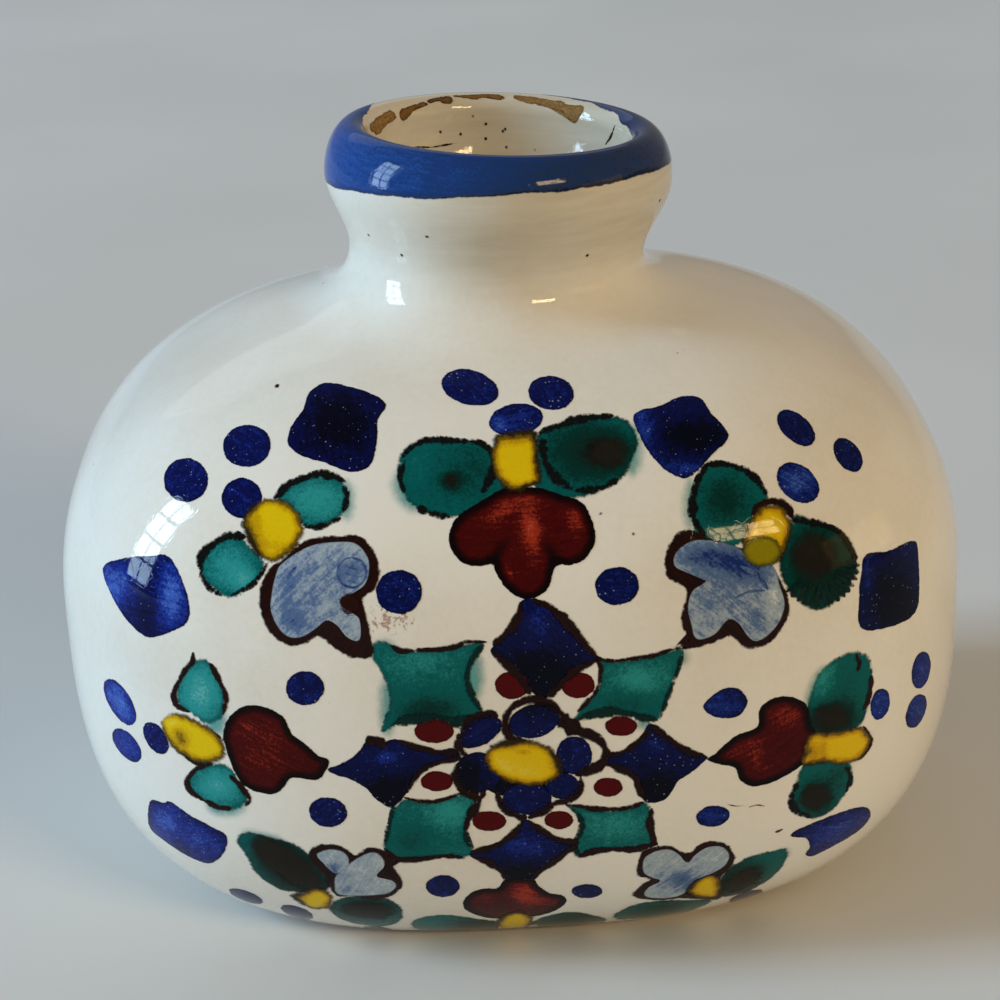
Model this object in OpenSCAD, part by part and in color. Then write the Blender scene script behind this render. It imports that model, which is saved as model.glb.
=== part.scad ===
// Hand-painted flask vase in tin-glazed earthenware: two moulded clay halves luted at the side
// seam, a thrown collar luted on top, glaze coats inside and out, and a painted rosette.
// Millimetres, +Z up, origin under the middle of the flat foot, painted front towards -Y.

/* [Body] */
// Width of the glazed body, from side seam to side seam
body_w = 100; // [85:1:125]
// Depth of the glazed body, from front to back
body_d = 80; // [66:1:100]
// Height of the widest ring above the foot
belly_z = 35; // [30:0.5:44]
// Rise of the shoulder curve above the widest ring
shoulder_rise = 32; // [27:0.5:40]
// Width of the flat foot
foot_w = 66; // [50:1:76]
// Squareness of the plan, where 2 is an ellipse
plan_square = 2.8; // [2:0.1:3.6]
// Squareness of the shoulder's profile
shoulder_square = 2.4; // [2:0.1:3]
// Squareness of the lower profile
lower_square = 3; // [2.4:0.1:3.6]
// Thickness of the clay wall
wall_t = 4; // [3:0.25:5]
// Thickness of the clay floor
floor_t = 5; // [3.5:0.25:7]

/* [Neck] */
// Diameter of the glazed neck at its waist, where the collar is luted on
waist_d = 32.3; // [28:0.1:36]
// Diameter on the shoulder where the flare up to the neck begins
flare_d = 48; // [42:0.5:54]
// Height of the luted joint above the top of the shoulder curve
joint_rise = 3.5; // [2.5:0.25:5]
// Height of the collar above its joint
collar_h = 13.6; // [11:0.1:17]
// Diameter of the lip's crest
crest_d = 31.9; // [29:0.1:36]
// Width and height of the lip's outer roll, from the crest to the lip's widest ring
lip_roll_w = 2.95; // [2:0.05:3.6]
lip_roll_h = 5.3; // [3:0.1:6.5]
// Width and depth of the lip's inner roll, from the crest to the mouth
mouth_roll_w = 1.8; // [1.4:0.1:2.4]
mouth_roll_h = 2.2; // [1.5:0.1:3.5]
// Lean of the neck towards the back, in degrees
lean_back = 1.3; // [-3:0.1:3]
// Lean of the neck towards +X, in degrees
lean_side = 3.7; // [-5:0.1:5]

/* [Glaze and paint] */
// Thickness of every glaze coat
glaze_t = 0.5; // [0.3:0.1:0.8]
// Height of the bare clay left round the foot
bare_foot_h = 1.2; // [0.8:0.1:2.5]
// Thickness of a painted layer
paint_t = 0.15; // [0.1:0.05:0.3]
// Clearance between a painted layer and the glaze under it
paint_gap = 0.2; // [0.15:0.05:0.3]
// Height of the blue rim band, measured down from the lip's widest ring
rim_band_h = 0.2; // [0.1:0.1:3]

/* [Rosette] */
// Drop of the rosette's centre below the widest ring
rosette_drop = 7.7; // [4:0.1:10]
// Clockwise turn of the rosette, in degrees
rosette_turn = 3; // [-6:0.5:6]
// Share of its height that the lower half of the rosette keeps
lower_squeeze = 0.75; // [0.65:0.01:0.85]
// Bare ground between neighbouring motifs
ground_gap = 0.8; // [0.5:0.1:1.2]
// Diameter of the yellow eye
eye_d = 5.8; // [4.5:0.1:7]
// Length and width of the six eye petals
petal_l = 3.4; // [2.5:0.1:4.5]
petal_w = 4.2; // [3:0.1:4.8]
// Diameter of the small red dots round the eye flower
red_dot_d = 2.8; // [2:0.1:3.2]
// Length and width of the four cobalt diamonds
diamond_l = 10.4; // [8:0.1:12]
diamond_w = 9; // [7:0.1:10]
// Width of the four teal tiles
tile_w = 8.6; // [7:0.1:10]
// Diameter of the blue dots between the flowers
ring_dot_d = 4.3; // [3:0.1:5]
// Length and width of a three-lobed flower
flower_l = 10.6; // [9:0.1:12]
flower_w = 12.4; // [10:0.1:13.5]
// Diameter of a flower's yellow calyx
calyx_d = 5; // [4:0.1:6]
// Length and width of a leaf
leaf_l = 8.6; // [7:0.1:10]
leaf_w = 6; // [5:0.1:7]
// Diameter of a dot in a flower's cluster
cluster_dot_d = 4.4; // [3:0.1:5]
// Width of a square cobalt dab on the outer ring
dab_w = 8.4; // [6:0.1:9.5]

/* [Hidden] */

$fn = 96;
// Facets round the whole body, and rows of the lower curve, shoulder, saddle and flare
around = 40;
lower_rows = 7;
upper_rows = 5;
saddle_rows = 2;
flare_rows = 5;
// Plan size, as a share of the widest ring, where the saddle under the neck begins
saddle_share = 0.74;
rad = 180 / PI;

// Depths below the glazed surface of the clay, the lining and the free inside
clay_in = glaze_t;
lining_in = clay_in + wall_t;
inside_in = lining_in + glaze_t;
joint_z = belly_z + shoulder_rise + joint_rise;
// The lower curve is cut by the ground, so its full drop follows from the foot's width
lower_drop = belly_z / pow(1 - pow(foot_w / body_w, lower_square), 1 / lower_square);

function spow(v, p) = sign(v) * pow(abs(v), p);
function mix(a, b, s) = a * (1 - s) + b * s;
function spin_x(p, t) = [p.x, p.y * cos(t) - p.z * sin(t), p.y * sin(t) + p.z * cos(t)];
function spin_y(p, t) = [p.x * cos(t) + p.z * sin(t), p.y, p.z * cos(t) - p.x * sin(t)];

// Lean a point with the neck, by a share s of the full lean about the middle of the joint
function leaned(p, s) =
    spin_y(spin_x(p - [0, 0, joint_z], -s * lean_back), s * lean_side) + [0, 0, joint_z];

// Half sizes and squareness of the body, an inset d below the glazed surface
function half_w(d) = body_w / 2 - d;
function half_d(d) = body_d / 2 - d;
function half_h(d, up) = (up ? shoulder_rise : lower_drop) - d;
function squareness(up) = up ? shoulder_square : lower_square;

// Plan radius of a point as a share of the widest ring, and the ring's share at a height
function share_at(x, y, d) = pow(pow(abs(x) / half_w(d), plan_square)
    + pow(abs(y) / half_d(d), plan_square), 1 / plan_square);
function ring_share(z, d) = let (up = z > belly_z, n = squareness(up))
    pow(1 - pow(abs(z - belly_z) / half_h(d, up), n), 1 / n);

// A point of the superellipse plan at angle q, and of the body at a profile angle t
function plan_point(q, s, d) = [half_w(d) * s * spow(cos(q), 2 / plan_square),
    half_d(d) * s * spow(sin(q), 2 / plan_square)];
function body_point(t, q, d) = let (up = t > 0, n = squareness(up),
    p = plan_point(q, pow(cos(t), 2 / n), d))
    [p.x, p.y, belly_z + half_h(d, up) * spow(sin(t), 2 / n)];
function shoulder_z(x, y, d) = belly_z + half_h(d, true)
    * pow(1 - pow(share_at(x, y, d), shoulder_square), 1 / shoulder_square);
// Profile angle of the lower curve at a height z
function lower_angle(z, d) =
    -asin(pow((belly_z - z) / half_h(d, false), lower_square / 2));

// Saddle: the plan runs from the superellipse to the round flare while staying on the shoulder
saddle_angle = acos(pow(saddle_share, shoulder_square / 2));
function flare_r(d) = flare_d / 2 - d;
function waist_r(d) = waist_d / 2 - d;
function saddle_point(s, q, d) = let (p = mix(plan_point(q, saddle_share, d),
    flare_r(d) * [cos(q), sin(q)], s)) [p.x, p.y, shoulder_z(p.x, p.y, d)];

// Flare: a curve that leaves along the shoulder's slope and turns upright at the joint
function shoulder_slope(q, d) = let (r = flare_r(d), e = 0.1)
    (shoulder_z((r - e) * cos(q), (r - e) * sin(q), d)
    - shoulder_z(r * cos(q), r * sin(q), d)) / e;
function flare_point(s, q, d) = let (
    low = shoulder_z(flare_r(d) * cos(q), flare_r(d) * sin(q), d),
    bend = low + shoulder_slope(q, d) * (flare_r(d) - waist_r(d)),
    r = mix(mix(flare_r(d), waist_r(d), s), waist_r(d), s),
    z = mix(mix(low, bend, s), mix(bend, joint_z, s), s))
    leaned([r * cos(q), r * sin(q), z], s * s);

// Rows of the body wall from height z0 up to the joint, each a ring of points over angles q
function wall_rows(z0, z1, d, qs) = let (t1 = lower_angle(z1, d)) concat(
    [[for (q = qs) body_point(lower_angle(z0, d), q, d)]],
    [for (i = [0 : lower_rows - 1]) [for (q = qs) body_point(mix(t1, 0, i / lower_rows), q, d)]],
    [for (i = [0 : upper_rows]) [for (q = qs) body_point(saddle_angle * i / upper_rows, q, d)]],
    [for (i = [1 : saddle_rows]) [for (q = qs) saddle_point(i / saddle_rows, q, d)]],
    [for (i = [1 : flare_rows]) [for (q = qs) flare_point(i / flare_rows, q, d)]]);

// Join two lists of rows into one flat list of points, outer wall first
function flat(rows) = [for (row = rows) each row];
// Two triangles over the corners of a quad that is named clockwise from outside
function quad(a, b, c, d) = [[a, b, c], [a, c, d]];
// Faces of a wall between an outer and an inner grid of m rows and n points a row
function side_faces(m, n, closed) = let (k = m * n) [for (i = [0 : m - 2])
    for (j = [0 : closed ? n - 1 : n - 2]) let (a = i * n + j, b = i * n + (j + 1) % n)
    each concat(quad(a, a + n, b + n, b), quad(k + a, k + b, k + b + n, k + a + n))];
function top_faces(m, n, closed) = let (k = m * n, r = (m - 1) * n)
    [for (j = [0 : closed ? n - 1 : n - 2]) let (a = r + j, b = r + (j + 1) % n)
    each quad(k + a, k + b, b, a)];
function bottom_faces(m, n) = let (k = m * n) [for (j = [0 : n - 1])
    let (b = (j + 1) % n) each quad(k + j, j, b, k + b)];
// Floor fans to the two middle points that follow the grids
function floor_faces(m, n, closed) = let (k = m * n) [for (j = [0 : closed ? n - 1 : n - 2])
    let (b = (j + 1) % n) each [[2 * k, j, b], [2 * k + 1, k + b, k + j]]];
// The luted edges of a half shell, down one side, under the floor and up the other
function seam_faces(m, n) = let (k = m * n) concat(
    [for (i = [0 : m - 2]) let (a = i * n, b = i * n + n - 1)
    each concat(quad(k + a, k + a + n, a + n, a), quad(b, b + n, k + b + n, k + b))],
    quad(2 * k, 2 * k + 1, k, 0),
    quad(n - 1, k + n - 1, 2 * k + 1, 2 * k));

// One clay half of the body, from the seam at angle q0 to the seam on the other side
module half_shell(q0) {
    qs = [for (i = [0 : around / 2]) q0 + i * 360 / around];
    outer = wall_rows(0, bare_foot_h, clay_in, qs);
    inner = wall_rows(floor_t, floor_t + bare_foot_h, lining_in, qs);
    m = len(outer);
    n = len(qs);
    polyhedron(concat(flat(outer), flat(inner), [[0, 0, 0], [0, 0, floor_t]]),
        concat(side_faces(m, n, false), top_faces(m, n, false), floor_faces(m, n, false),
        seam_faces(m, n)));
}

function ring_angles() = [for (i = [0 : around - 1]) i * 360 / around];
function rows_from(rows, first) = [for (i = [first : len(rows) - 1]) rows[i]];

// Outline of the collar from its joint up the outside, over the lip and down the inside
lip_z = collar_h - lip_roll_h;
lip_d = crest_d + 2 * lip_roll_w;
mouth_d = crest_d - 2 * mouth_roll_w;
throat_r = waist_r(inside_in);
function ease(s) = s * s * (3 - 2 * s);
collar_steps = 12;
roll_steps = 8;
function collar_outline() = concat(
    [for (i = [0 : collar_steps - 1]) let (s = i / collar_steps)
    [mix(waist_d / 2, lip_d / 2, ease(s)), lip_z * s]],
    [for (i = [0 : roll_steps]) let (t = 90 * i / roll_steps)
    [mix(crest_d, lip_d, cos(t)) / 2, lip_z + lip_roll_h * sin(t)]],
    [for (i = [1 : roll_steps]) let (t = 90 * i / roll_steps)
    [mix(crest_d, mouth_d, sin(t)) / 2, collar_h - mouth_roll_h * (1 - cos(t))]],
    [for (i = [1 : collar_steps]) let (s = i / collar_steps)
    [mix(mouth_d / 2, throat_r, ease(s)), (collar_h - mouth_roll_h) * (1 - s)]]);
// A line moved square to itself by d, into the clay where d is positive
function moved(line, d, level_ends) = [for (i = [0 : len(line) - 1])
    let (a = line[max(i - 1, 0)], b = line[min(i + 1, len(line) - 1)], v = b - a,
    at_end = i == 0 || i == len(line) - 1,
    n = level_ends && at_end ? [-sign(v.y), 0] : [-v.y, v.x] / norm(v)) line[i] + d * n];
function collar_clay() = moved(collar_outline(), clay_in, true);
function reversed(line) = [for (i = [len(line) - 1 : -1 : 0]) line[i]];
// The stretch of the outline that carries the rim band, from its lower edge over the crest
rim_step = 0.3;
function rim_line() = let (line = collar_outline(), start = lip_z - rim_band_h,
    last = collar_steps + roll_steps + roll_steps / 2)
    concat([[rim_start_r(), start]],
    [for (i = [0 : last]) if (line[i].y > start + rim_step || i > collar_steps) line[i]]);
function rim_start_r() = mix(waist_d, lip_d, ease((lip_z - rim_band_h) / lip_z)) / 2;

module on_joint() {
    translate([0, 0, joint_z]) rotate([-lean_back, lean_side, 0]) children();
}

// Rosette plan: u runs right and v runs up from its centre, as lengths on the glaze
rosette_z = belly_z - rosette_drop;
rise = belly_z + shoulder_rise - rosette_z;
// Height on the body of a plan length v, where the lower half is squeezed towards the foot
function plan_z(v) = v > 0 ? rosette_z + rise * sin(v / rise * rad)
    : rosette_z + rosette_z * sin(lower_squeeze * v / rosette_z * rad);
// A point over the plan x, y that climbs the flare wherever it lies inside the flare's ring
function on_flare(x, y, z) = let (r = norm([x, y])) r > flare_r(0) ? [x, y, z]
    : flare_point(1 - sqrt((r - waist_r(0)) / (flare_r(0) - waist_r(0))), atan2(y, x), 0);
// A point at height h over the glaze, from a plan point that is turned with the rosette
function on_front(p, h) = let (
    u = p.x * cos(rosette_turn) + p.y * sin(rosette_turn),
    v = p.y * cos(rosette_turn) - p.x * sin(rosette_turn),
    z = plan_z(v),
    s = ring_share(z, 0),
    x = half_w(0) * s * sin(u / (half_w(0) * s) * rad),
    y = -half_d(0) * pow(pow(s, plan_square) - pow(abs(x) / half_w(0), plan_square),
        1 / plan_square))
    on_flare(x, y, z) + h * outward(x, y, z);
// Outward direction of the glazed body, from the slope of its superellipse formula
function outward(x, y, z) = let (up = z > belly_z, n = squareness(up), s = share_at(x, y, 0),
    g = pow(s, n - plan_square),
    v = [g * spow(x / half_w(0), plan_square - 1) / half_w(0),
    g * spow(y / half_d(0), plan_square - 1) / half_d(0),
    spow((z - belly_z) / half_h(0, up), n - 1) / half_h(0, up)]) v / norm(v);

// A painted patch with a star-shaped outline, laid on the front round the plan point c
module patch(c, outline) {
    n = len(outline);
    function layer(h) = concat([on_front(c, h)], [for (p = outline) on_front(c + p, h)]);
    polyhedron(concat(layer(paint_gap), layer(paint_gap + paint_t)),
        [for (j = [0 : n - 1]) let (a = 1 + j, b = 1 + (j + 1) % n, k = n + 1)
        each concat([[0, a, b], [k, k + b, k + a]], quad(k + a, k + b, b, a))]);
}

// Outlines, each a list of points round the patch's own middle, counter-clockwise
function turned(line, t) = [for (p = line)
    [p.x * cos(t) + p.y * sin(t), p.y * cos(t) - p.x * sin(t)]];
function oval(w, l, n) = [for (i = [0 : n - 1]) let (t = i * 360 / n)
    [w / 2 * cos(t), l / 2 * sin(t)]];
// Four-cornered outline with hollow sides for a power under 1 and full sides over 2
function four_point(w, l, power, n) = [for (i = [0 : n - 1]) let (t = i * 360 / n,
    r = 1 / pow(pow(abs(cos(t)), power) + pow(abs(sin(t)), power), 1 / power))
    [w / 2 * r * cos(t), l / 2 * r * sin(t)]];
// Three-lobed flower with one lobe pointing inwards and two spread beside the calyx
lobe_depth = 0.2;
function trefoil(w, l, n) = [for (i = [0 : n - 1]) let (t = i * 360 / n,
    r = (1 + lobe_depth * cos(3 * (t + 90))) / (1 + lobe_depth))
    [w * r * cos(t) / (2 * cos(30)), l * r * sin(t) / (1 + sin(30))]];
dot_points = 8;
leaf_points = 12;
corner_points = 16;
flower_points = 18;
hollow = 0.85;
full = 4;

// Distances from the rosette's centre, each from the motif inside it and the bare ground
petal_ring = eye_d / 2 + ground_gap / 2 + petal_l / 2;
eye_edge = petal_ring + petal_l / 2;
red_dot_ring = eye_edge + ground_gap + red_dot_d / 2;
diamond_ring = eye_edge + ground_gap + diamond_l / 2;
tile_side = diamond_w / 2 + ground_gap + tile_w / 2;
tile_edge = (tile_side + tile_w / 2) * sqrt(2);
star_edge = max(tile_edge, diamond_ring + diamond_l / 2);
ring_dot_ring = star_edge + ground_gap + ring_dot_d / 2;
flower_ring = star_edge + ground_gap + flower_l * 2 / 3;
flower_edge = flower_ring + flower_l / 3;
calyx_ring = flower_edge + calyx_d / 2;
calyx_edge = calyx_ring + calyx_d / 2;
leaf_side = calyx_d / 2 + ground_gap + leaf_l / 2;
leaf_ring = calyx_ring + leaf_w / 4;
cluster_ring = calyx_edge + ground_gap + cluster_dot_d / 2;
cluster_side = (cluster_dot_d + ground_gap) / 2;
dab_ring = leaf_ring + leaf_w / 2 + ground_gap + dab_w / 2;
// Turn of the leaves towards the outside
leaf_lift = 14;
// Directions, clockwise from straight up
eighths = [0 : 45 : 315];
between = [22.5 : 45 : 337.5];
function along(t, r, side) =
    [r * sin(t) + side * cos(t), r * cos(t) - side * sin(t)];

// Front half of the moulded clay body
module front_shell() {
    color("burlywood") half_shell(180);
}

// Back half of the moulded clay body
module back_shell() {
    color("burlywood") half_shell(0);
}

// Thrown clay collar with a waist and a rolled lip, luted on the joint
module neck_collar() {
    color("burlywood") on_joint() rotate_extrude() polygon(collar_clay());
}

// Glaze coat over the outside of the body, wiped off round the foot
module body_glaze() {
    outer = rows_from(wall_rows(0, bare_foot_h, 0, ring_angles()), 1);
    inner = rows_from(wall_rows(0, bare_foot_h, clay_in, ring_angles()), 1);
    m = len(outer);
    color("ivory") polyhedron(concat(flat(outer), flat(inner)),
        concat(side_faces(m, around, true), top_faces(m, around, true), bottom_faces(m, around)));
}

// Glaze coat over the collar, outside, over the lip and down the inside
module neck_glaze() {
    color("ivory") on_joint() rotate_extrude()
        polygon(concat(collar_outline(), reversed(collar_clay())));
}

// Glaze lining that makes the inside of the body watertight
module inner_glaze() {
    outer = wall_rows(floor_t, floor_t + bare_foot_h, lining_in, ring_angles());
    inner = wall_rows(floor_t + glaze_t, floor_t + glaze_t + bare_foot_h, inside_in, ring_angles());
    m = len(outer);
    color("cornsilk") polyhedron(
        concat(flat(outer), flat(inner), [[0, 0, floor_t], [0, 0, floor_t + glaze_t]]),
        concat(side_faces(m, around, true), top_faces(m, around, true),
        floor_faces(m, around, true)));
}

// Cobalt band brushed round the lip
module rim_band() {
    line = rim_line();
    color("royalblue") on_joint() rotate_extrude() polygon(concat(
        moved(line, -paint_gap - paint_t, false), reversed(moved(line, -paint_gap, false))));
}

// Yellow eye of the middle flower
module eye() {
    color("gold") patch([0, 0], oval(eye_d, eye_d, leaf_points));
}

// Six cobalt petals round the eye
module eye_petals() {
    color("mediumblue") for (t = [0 : 60 : 300])
        patch(along(t, petal_ring, 0), turned(oval(petal_w, petal_l, leaf_points), t));
}

// Four hollow-sided cobalt diamonds, up, right, down and left of the eye
module diamonds() {
    color("mediumblue") for (t = [0 : 90 : 270])
        patch(along(t, diamond_ring, 0),
            turned(four_point(diamond_w, diamond_l, hollow, corner_points), t));
}

// Four hollow-sided teal tiles between the diamonds
module teal_tiles() {
    color("teal") for (t = [45 : 90 : 315])
        patch(along(t, tile_side * sqrt(2), 0),
            turned(four_point(tile_w * sqrt(2), tile_w * sqrt(2), hollow, corner_points), t));
}

// Eight small red dots round the eye flower
module red_dots() {
    color("darkred") for (t = between)
        patch(along(t, red_dot_ring, 0), oval(red_dot_d, red_dot_d, dot_points));
}

// Eight blue dots between the flowers
module ring_dots() {
    color("mediumblue") for (t = between)
        patch(along(t, ring_dot_ring, 0), oval(ring_dot_d, ring_dot_d, dot_points));
}

module flowers(directions) {
    for (t = directions)
        patch(along(t, flower_ring, 0), turned(trefoil(flower_w, flower_l, flower_points), t));
}

// Four red flowers, up, right, down and left
module red_flowers() {
    color("firebrick") flowers([0 : 90 : 270]);
}

// Four pale blue flowers on the diagonals
module pale_flowers() {
    color("lightsteelblue") flowers([45 : 90 : 315]);
}

// Yellow calyx behind each flower
module calyxes() {
    color("gold") for (t = eighths)
        patch(along(t, calyx_ring, 0), turned(oval(calyx_d, calyx_d, dot_points), t));
}

// Two leaves beside each calyx
module leaves() {
    color("seagreen") for (t = eighths) for (side = [-1, 1])
        patch(along(t, leaf_ring, side * leaf_side),
            turned(oval(leaf_l, leaf_w, leaf_points), t - side * leaf_lift));
}

// Three blue dots outside each flower, apart from the lowest, which ends at the foot
module dot_clusters() {
    color("mediumblue") for (t = eighths) if (t != 180)
        for (p = [[0, 0], [-1, 1], [1, 1]])
            patch(along(t, cluster_ring + p.y * (cluster_dot_d * sqrt(3) / 2 + ground_gap),
                p.x * cluster_side), oval(cluster_dot_d, cluster_dot_d, dot_points));
}

// Six square cobalt dabs on the outer ring, none of them under the body
module cobalt_dabs() {
    color("navy") for (t = between) if (abs(t - 180) > 45)
        patch(along(t, dab_ring, 0), turned(four_point(dab_w, dab_w, full, leaf_points), t));
}

front_shell();
back_shell();
neck_collar();
body_glaze();
neck_glaze();
inner_glaze();
rim_band();
eye();
eye_petals();
diamonds();
teal_tiles();
red_dots();
ring_dots();
red_flowers();
pale_flowers();
calyxes();
leaves();
dot_clusters();
cobalt_dabs();
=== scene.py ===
"""Hand-painted ceramic bud vase: glaze, brushed rosette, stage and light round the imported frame.

Shapes are worked out in millimetres and put into meshes in metres. The painted touches are drawn
as outlines in the photograph's 1000 x 1000 pixels and laid on the glaze along the camera's sight.
"""

import math

import bpy
import numpy as np
from mathutils import Matrix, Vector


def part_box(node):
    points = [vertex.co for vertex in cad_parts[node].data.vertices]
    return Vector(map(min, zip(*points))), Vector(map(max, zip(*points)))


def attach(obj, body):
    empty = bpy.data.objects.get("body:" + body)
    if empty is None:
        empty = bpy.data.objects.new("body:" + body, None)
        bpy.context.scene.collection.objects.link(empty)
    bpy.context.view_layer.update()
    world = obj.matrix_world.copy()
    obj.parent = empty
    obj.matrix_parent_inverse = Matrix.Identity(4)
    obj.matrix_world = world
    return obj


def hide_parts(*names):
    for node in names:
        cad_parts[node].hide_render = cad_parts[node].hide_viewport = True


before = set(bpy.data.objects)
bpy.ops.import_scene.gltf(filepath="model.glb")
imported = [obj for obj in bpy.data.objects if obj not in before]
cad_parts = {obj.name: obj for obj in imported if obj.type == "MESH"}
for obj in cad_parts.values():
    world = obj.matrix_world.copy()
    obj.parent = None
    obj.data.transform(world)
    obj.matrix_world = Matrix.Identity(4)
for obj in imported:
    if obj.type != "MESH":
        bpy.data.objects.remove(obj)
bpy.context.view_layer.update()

MM = 0.001
PER_MM = 1 / MM

# Glazed body and neck in millimetres, as the construction has them
GLAZE_LOW, GLAZE_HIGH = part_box("body_glaze")
HALF_W = (GLAZE_HIGH.x - GLAZE_LOW.x) / 2 / MM
HALF_D = (GLAZE_HIGH.y - GLAZE_LOW.y) / 2 / MM
BARE_FOOT_H = GLAZE_LOW.z / MM
BELLY_Z = 35.0
SHOULDER_RISE = 32.0
FOOT_SHARE = 0.66
PLAN_SQUARE = 2.8
SHOULDER_SQUARE = 2.4
LOWER_SQUARE = 3.0
LOWER_DROP = BELLY_Z / (1 - FOOT_SHARE**LOWER_SQUARE) ** (1 / LOWER_SQUARE)
SADDLE_SHARE = 0.74
FLARE_R = 24.0
WAIST_R = 16.15
JOINT_RISE = 3.5
JOINT_Z = BELLY_Z + SHOULDER_RISE + JOINT_RISE
COLLAR_H = 13.6
LIP_ROLL_H = 5.3
LIP_Z = COLLAR_H - LIP_ROLL_H
CREST_R = 15.95
LIP_OUT = 2.95
MOUTH_IN = 1.8
LIP_R = CREST_R + LIP_OUT
MOUTH_R = CREST_R - MOUTH_IN
MOUTH_ROLL_H = 2.2
LEAN_BACK = math.radians(1.3)
LEAN_SIDE = math.radians(3.7)
GLAZE_T = 0.5
CLAY_T = 4.0
FLOOR_T = 5.0
COAT_BACK = 0.4
LINING_IN = GLAZE_T + CLAY_T
INSIDE_IN = LINING_IN + GLAZE_T
THROAT_R = WAIST_R - INSIDE_IN

# Closeness of a doubled end ring as a share of its stretch, and rings on each stretch of the collar
CLOSE_SHARE = 0.01
COLLAR_STEPS = 64

# Camera fitted to the photograph, in millimetres and pixels
IMAGE = 1000
EYE = np.array([-6.35, -279.93, 152.0])
AIM = np.array([-0.79, 0.0, 40.34])
ROLL = math.radians(-2.4)
FOCAL = 2644.0
SENSOR = 36.0
SIGHT_NEAR = 180.0
SIGHT_FAR = 420.0
SIGHT_STEPS = 40

# Heights of the painted layers over the glaze, in millimetres
HALO_LIFT = 0.010
BED_LIFT = 0.018
FILL_LIFT = 0.026
LINE_LIFT = 0.034
TOP_LIFT = 0.042
OVER_LIFT = 0.050


def mix(a, b, share):
    """Straight blend from a to b."""
    return a * (1 - share) + b * share


def ease(s):
    """Smooth step from 0 to 1 with level ends."""
    return s * s * (3 - 2 * s)


def leaned(points, share):
    """Tilt points with the neck about the middle of its joint: back about X, then aside about Y,
    each by a share of the full lean."""
    back = -share * LEAN_BACK
    side = share * LEAN_SIDE
    x, y, z = points[..., 0], points[..., 1], points[..., 2] - JOINT_Z
    y, z = y * np.cos(back) - z * np.sin(back), y * np.sin(back) + z * np.cos(back)
    x, z = x * np.cos(side) + z * np.sin(side), z * np.cos(side) - x * np.sin(side)
    return np.stack([x, y, z + JOINT_Z], -1)


def round_axis(radius, bearing, z):
    """Points at a radius, bearing and height round the upright axis."""
    radius, bearing, z = np.broadcast_arrays(radius, bearing, z)
    return np.stack([radius * np.cos(bearing), radius * np.sin(bearing), z], -1)


def plan_reach(bearing, inset):
    """Radius of the widest ring at a bearing: the superellipse (|x|/w)^n + (|y|/d)^n = 1 in polar
    form, an inset below the glazed surface."""
    across = np.abs(np.cos(bearing)) / (HALF_W - inset)
    deep = np.abs(np.sin(bearing)) / (HALF_D - inset)
    return (across**PLAN_SQUARE + deep**PLAN_SQUARE) ** (-1 / PLAN_SQUARE)


def belly_rows(tilt, bearing, inset):
    """Rings of the body at profile angles: a superellipse in polar form gives each ring's share of
    the widest ring and its height, with one squareness above the widest ring and one below."""
    square = np.where(tilt > 0, SHOULDER_SQUARE, LOWER_SQUARE)
    height = np.where(tilt > 0, SHOULDER_RISE, LOWER_DROP) - inset
    reach = (np.cos(tilt) ** square + np.abs(np.sin(tilt)) ** square) ** (-1 / square)
    share = (reach * np.cos(tilt))[:, None]
    z = (BELLY_Z + height * reach * np.sin(tilt))[:, None]
    return round_axis(share * plan_reach(bearing, inset), bearing, z)


def shoulder_height(radius, bearing, inset):
    """Height of the shoulder over a point: belly + rise * (1 - share^n)^(1/n)."""
    share = radius / plan_reach(bearing, inset)
    return BELLY_Z + (SHOULDER_RISE - inset) * (1 - share**SHOULDER_SQUARE) ** (1 / SHOULDER_SQUARE)


def flare(s, bearing, inset):
    """Points of the flare: a parabola that leaves the shoulder along its slope and ends upright at
    the joint, leaning more and more with the neck."""
    outer, inner, step = FLARE_R - inset, WAIST_R - inset, 0.1
    low = shoulder_height(outer, bearing, inset)
    slope = (shoulder_height(outer - step, bearing, inset) - low) / step
    bend = low + slope * (outer - inner)
    radius = mix(outer, inner, 2 * s - s * s)
    z = mix(mix(low, bend, s), mix(bend, JOINT_Z, s), s)
    return leaned(round_axis(radius, bearing, z), s * s)


def wall(bearing, inset, foot_z, rows):
    """Rings of the body wall from foot_z up to the joint: lower curve, shoulder, saddle and flare,
    with a count of rings for each. The last ring is doubled closely to keep its shading true."""
    rise = (BELLY_Z - foot_z) / (LOWER_DROP - inset)
    foot_tilt = math.atan2(rise, (1 - rise**LOWER_SQUARE) ** (1 / LOWER_SQUARE))
    crown = (1 - SADDLE_SHARE**SHOULDER_SQUARE) ** (1 / SHOULDER_SQUARE)
    saddle_tilt = math.atan2(crown, SADDLE_SHARE)
    lower = belly_rows(np.linspace(-foot_tilt, 0, rows[0], endpoint=False), bearing, inset)
    upper = belly_rows(np.linspace(0, saddle_tilt, rows[1]), bearing, inset)
    across = np.linspace(0, 1, rows[2] + 1)[1:, None]
    radius = mix(SADDLE_SHARE * plan_reach(bearing, inset), FLARE_R - inset, across)
    saddle = round_axis(radius, bearing, shoulder_height(radius, bearing, inset))
    up = np.append(np.linspace(0, 1, rows[3] + 1)[1:-1], [1 - CLOSE_SHARE, 1])[:, None]
    return np.concatenate([lower, upper, saddle, flare(up, bearing, inset)])


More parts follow.
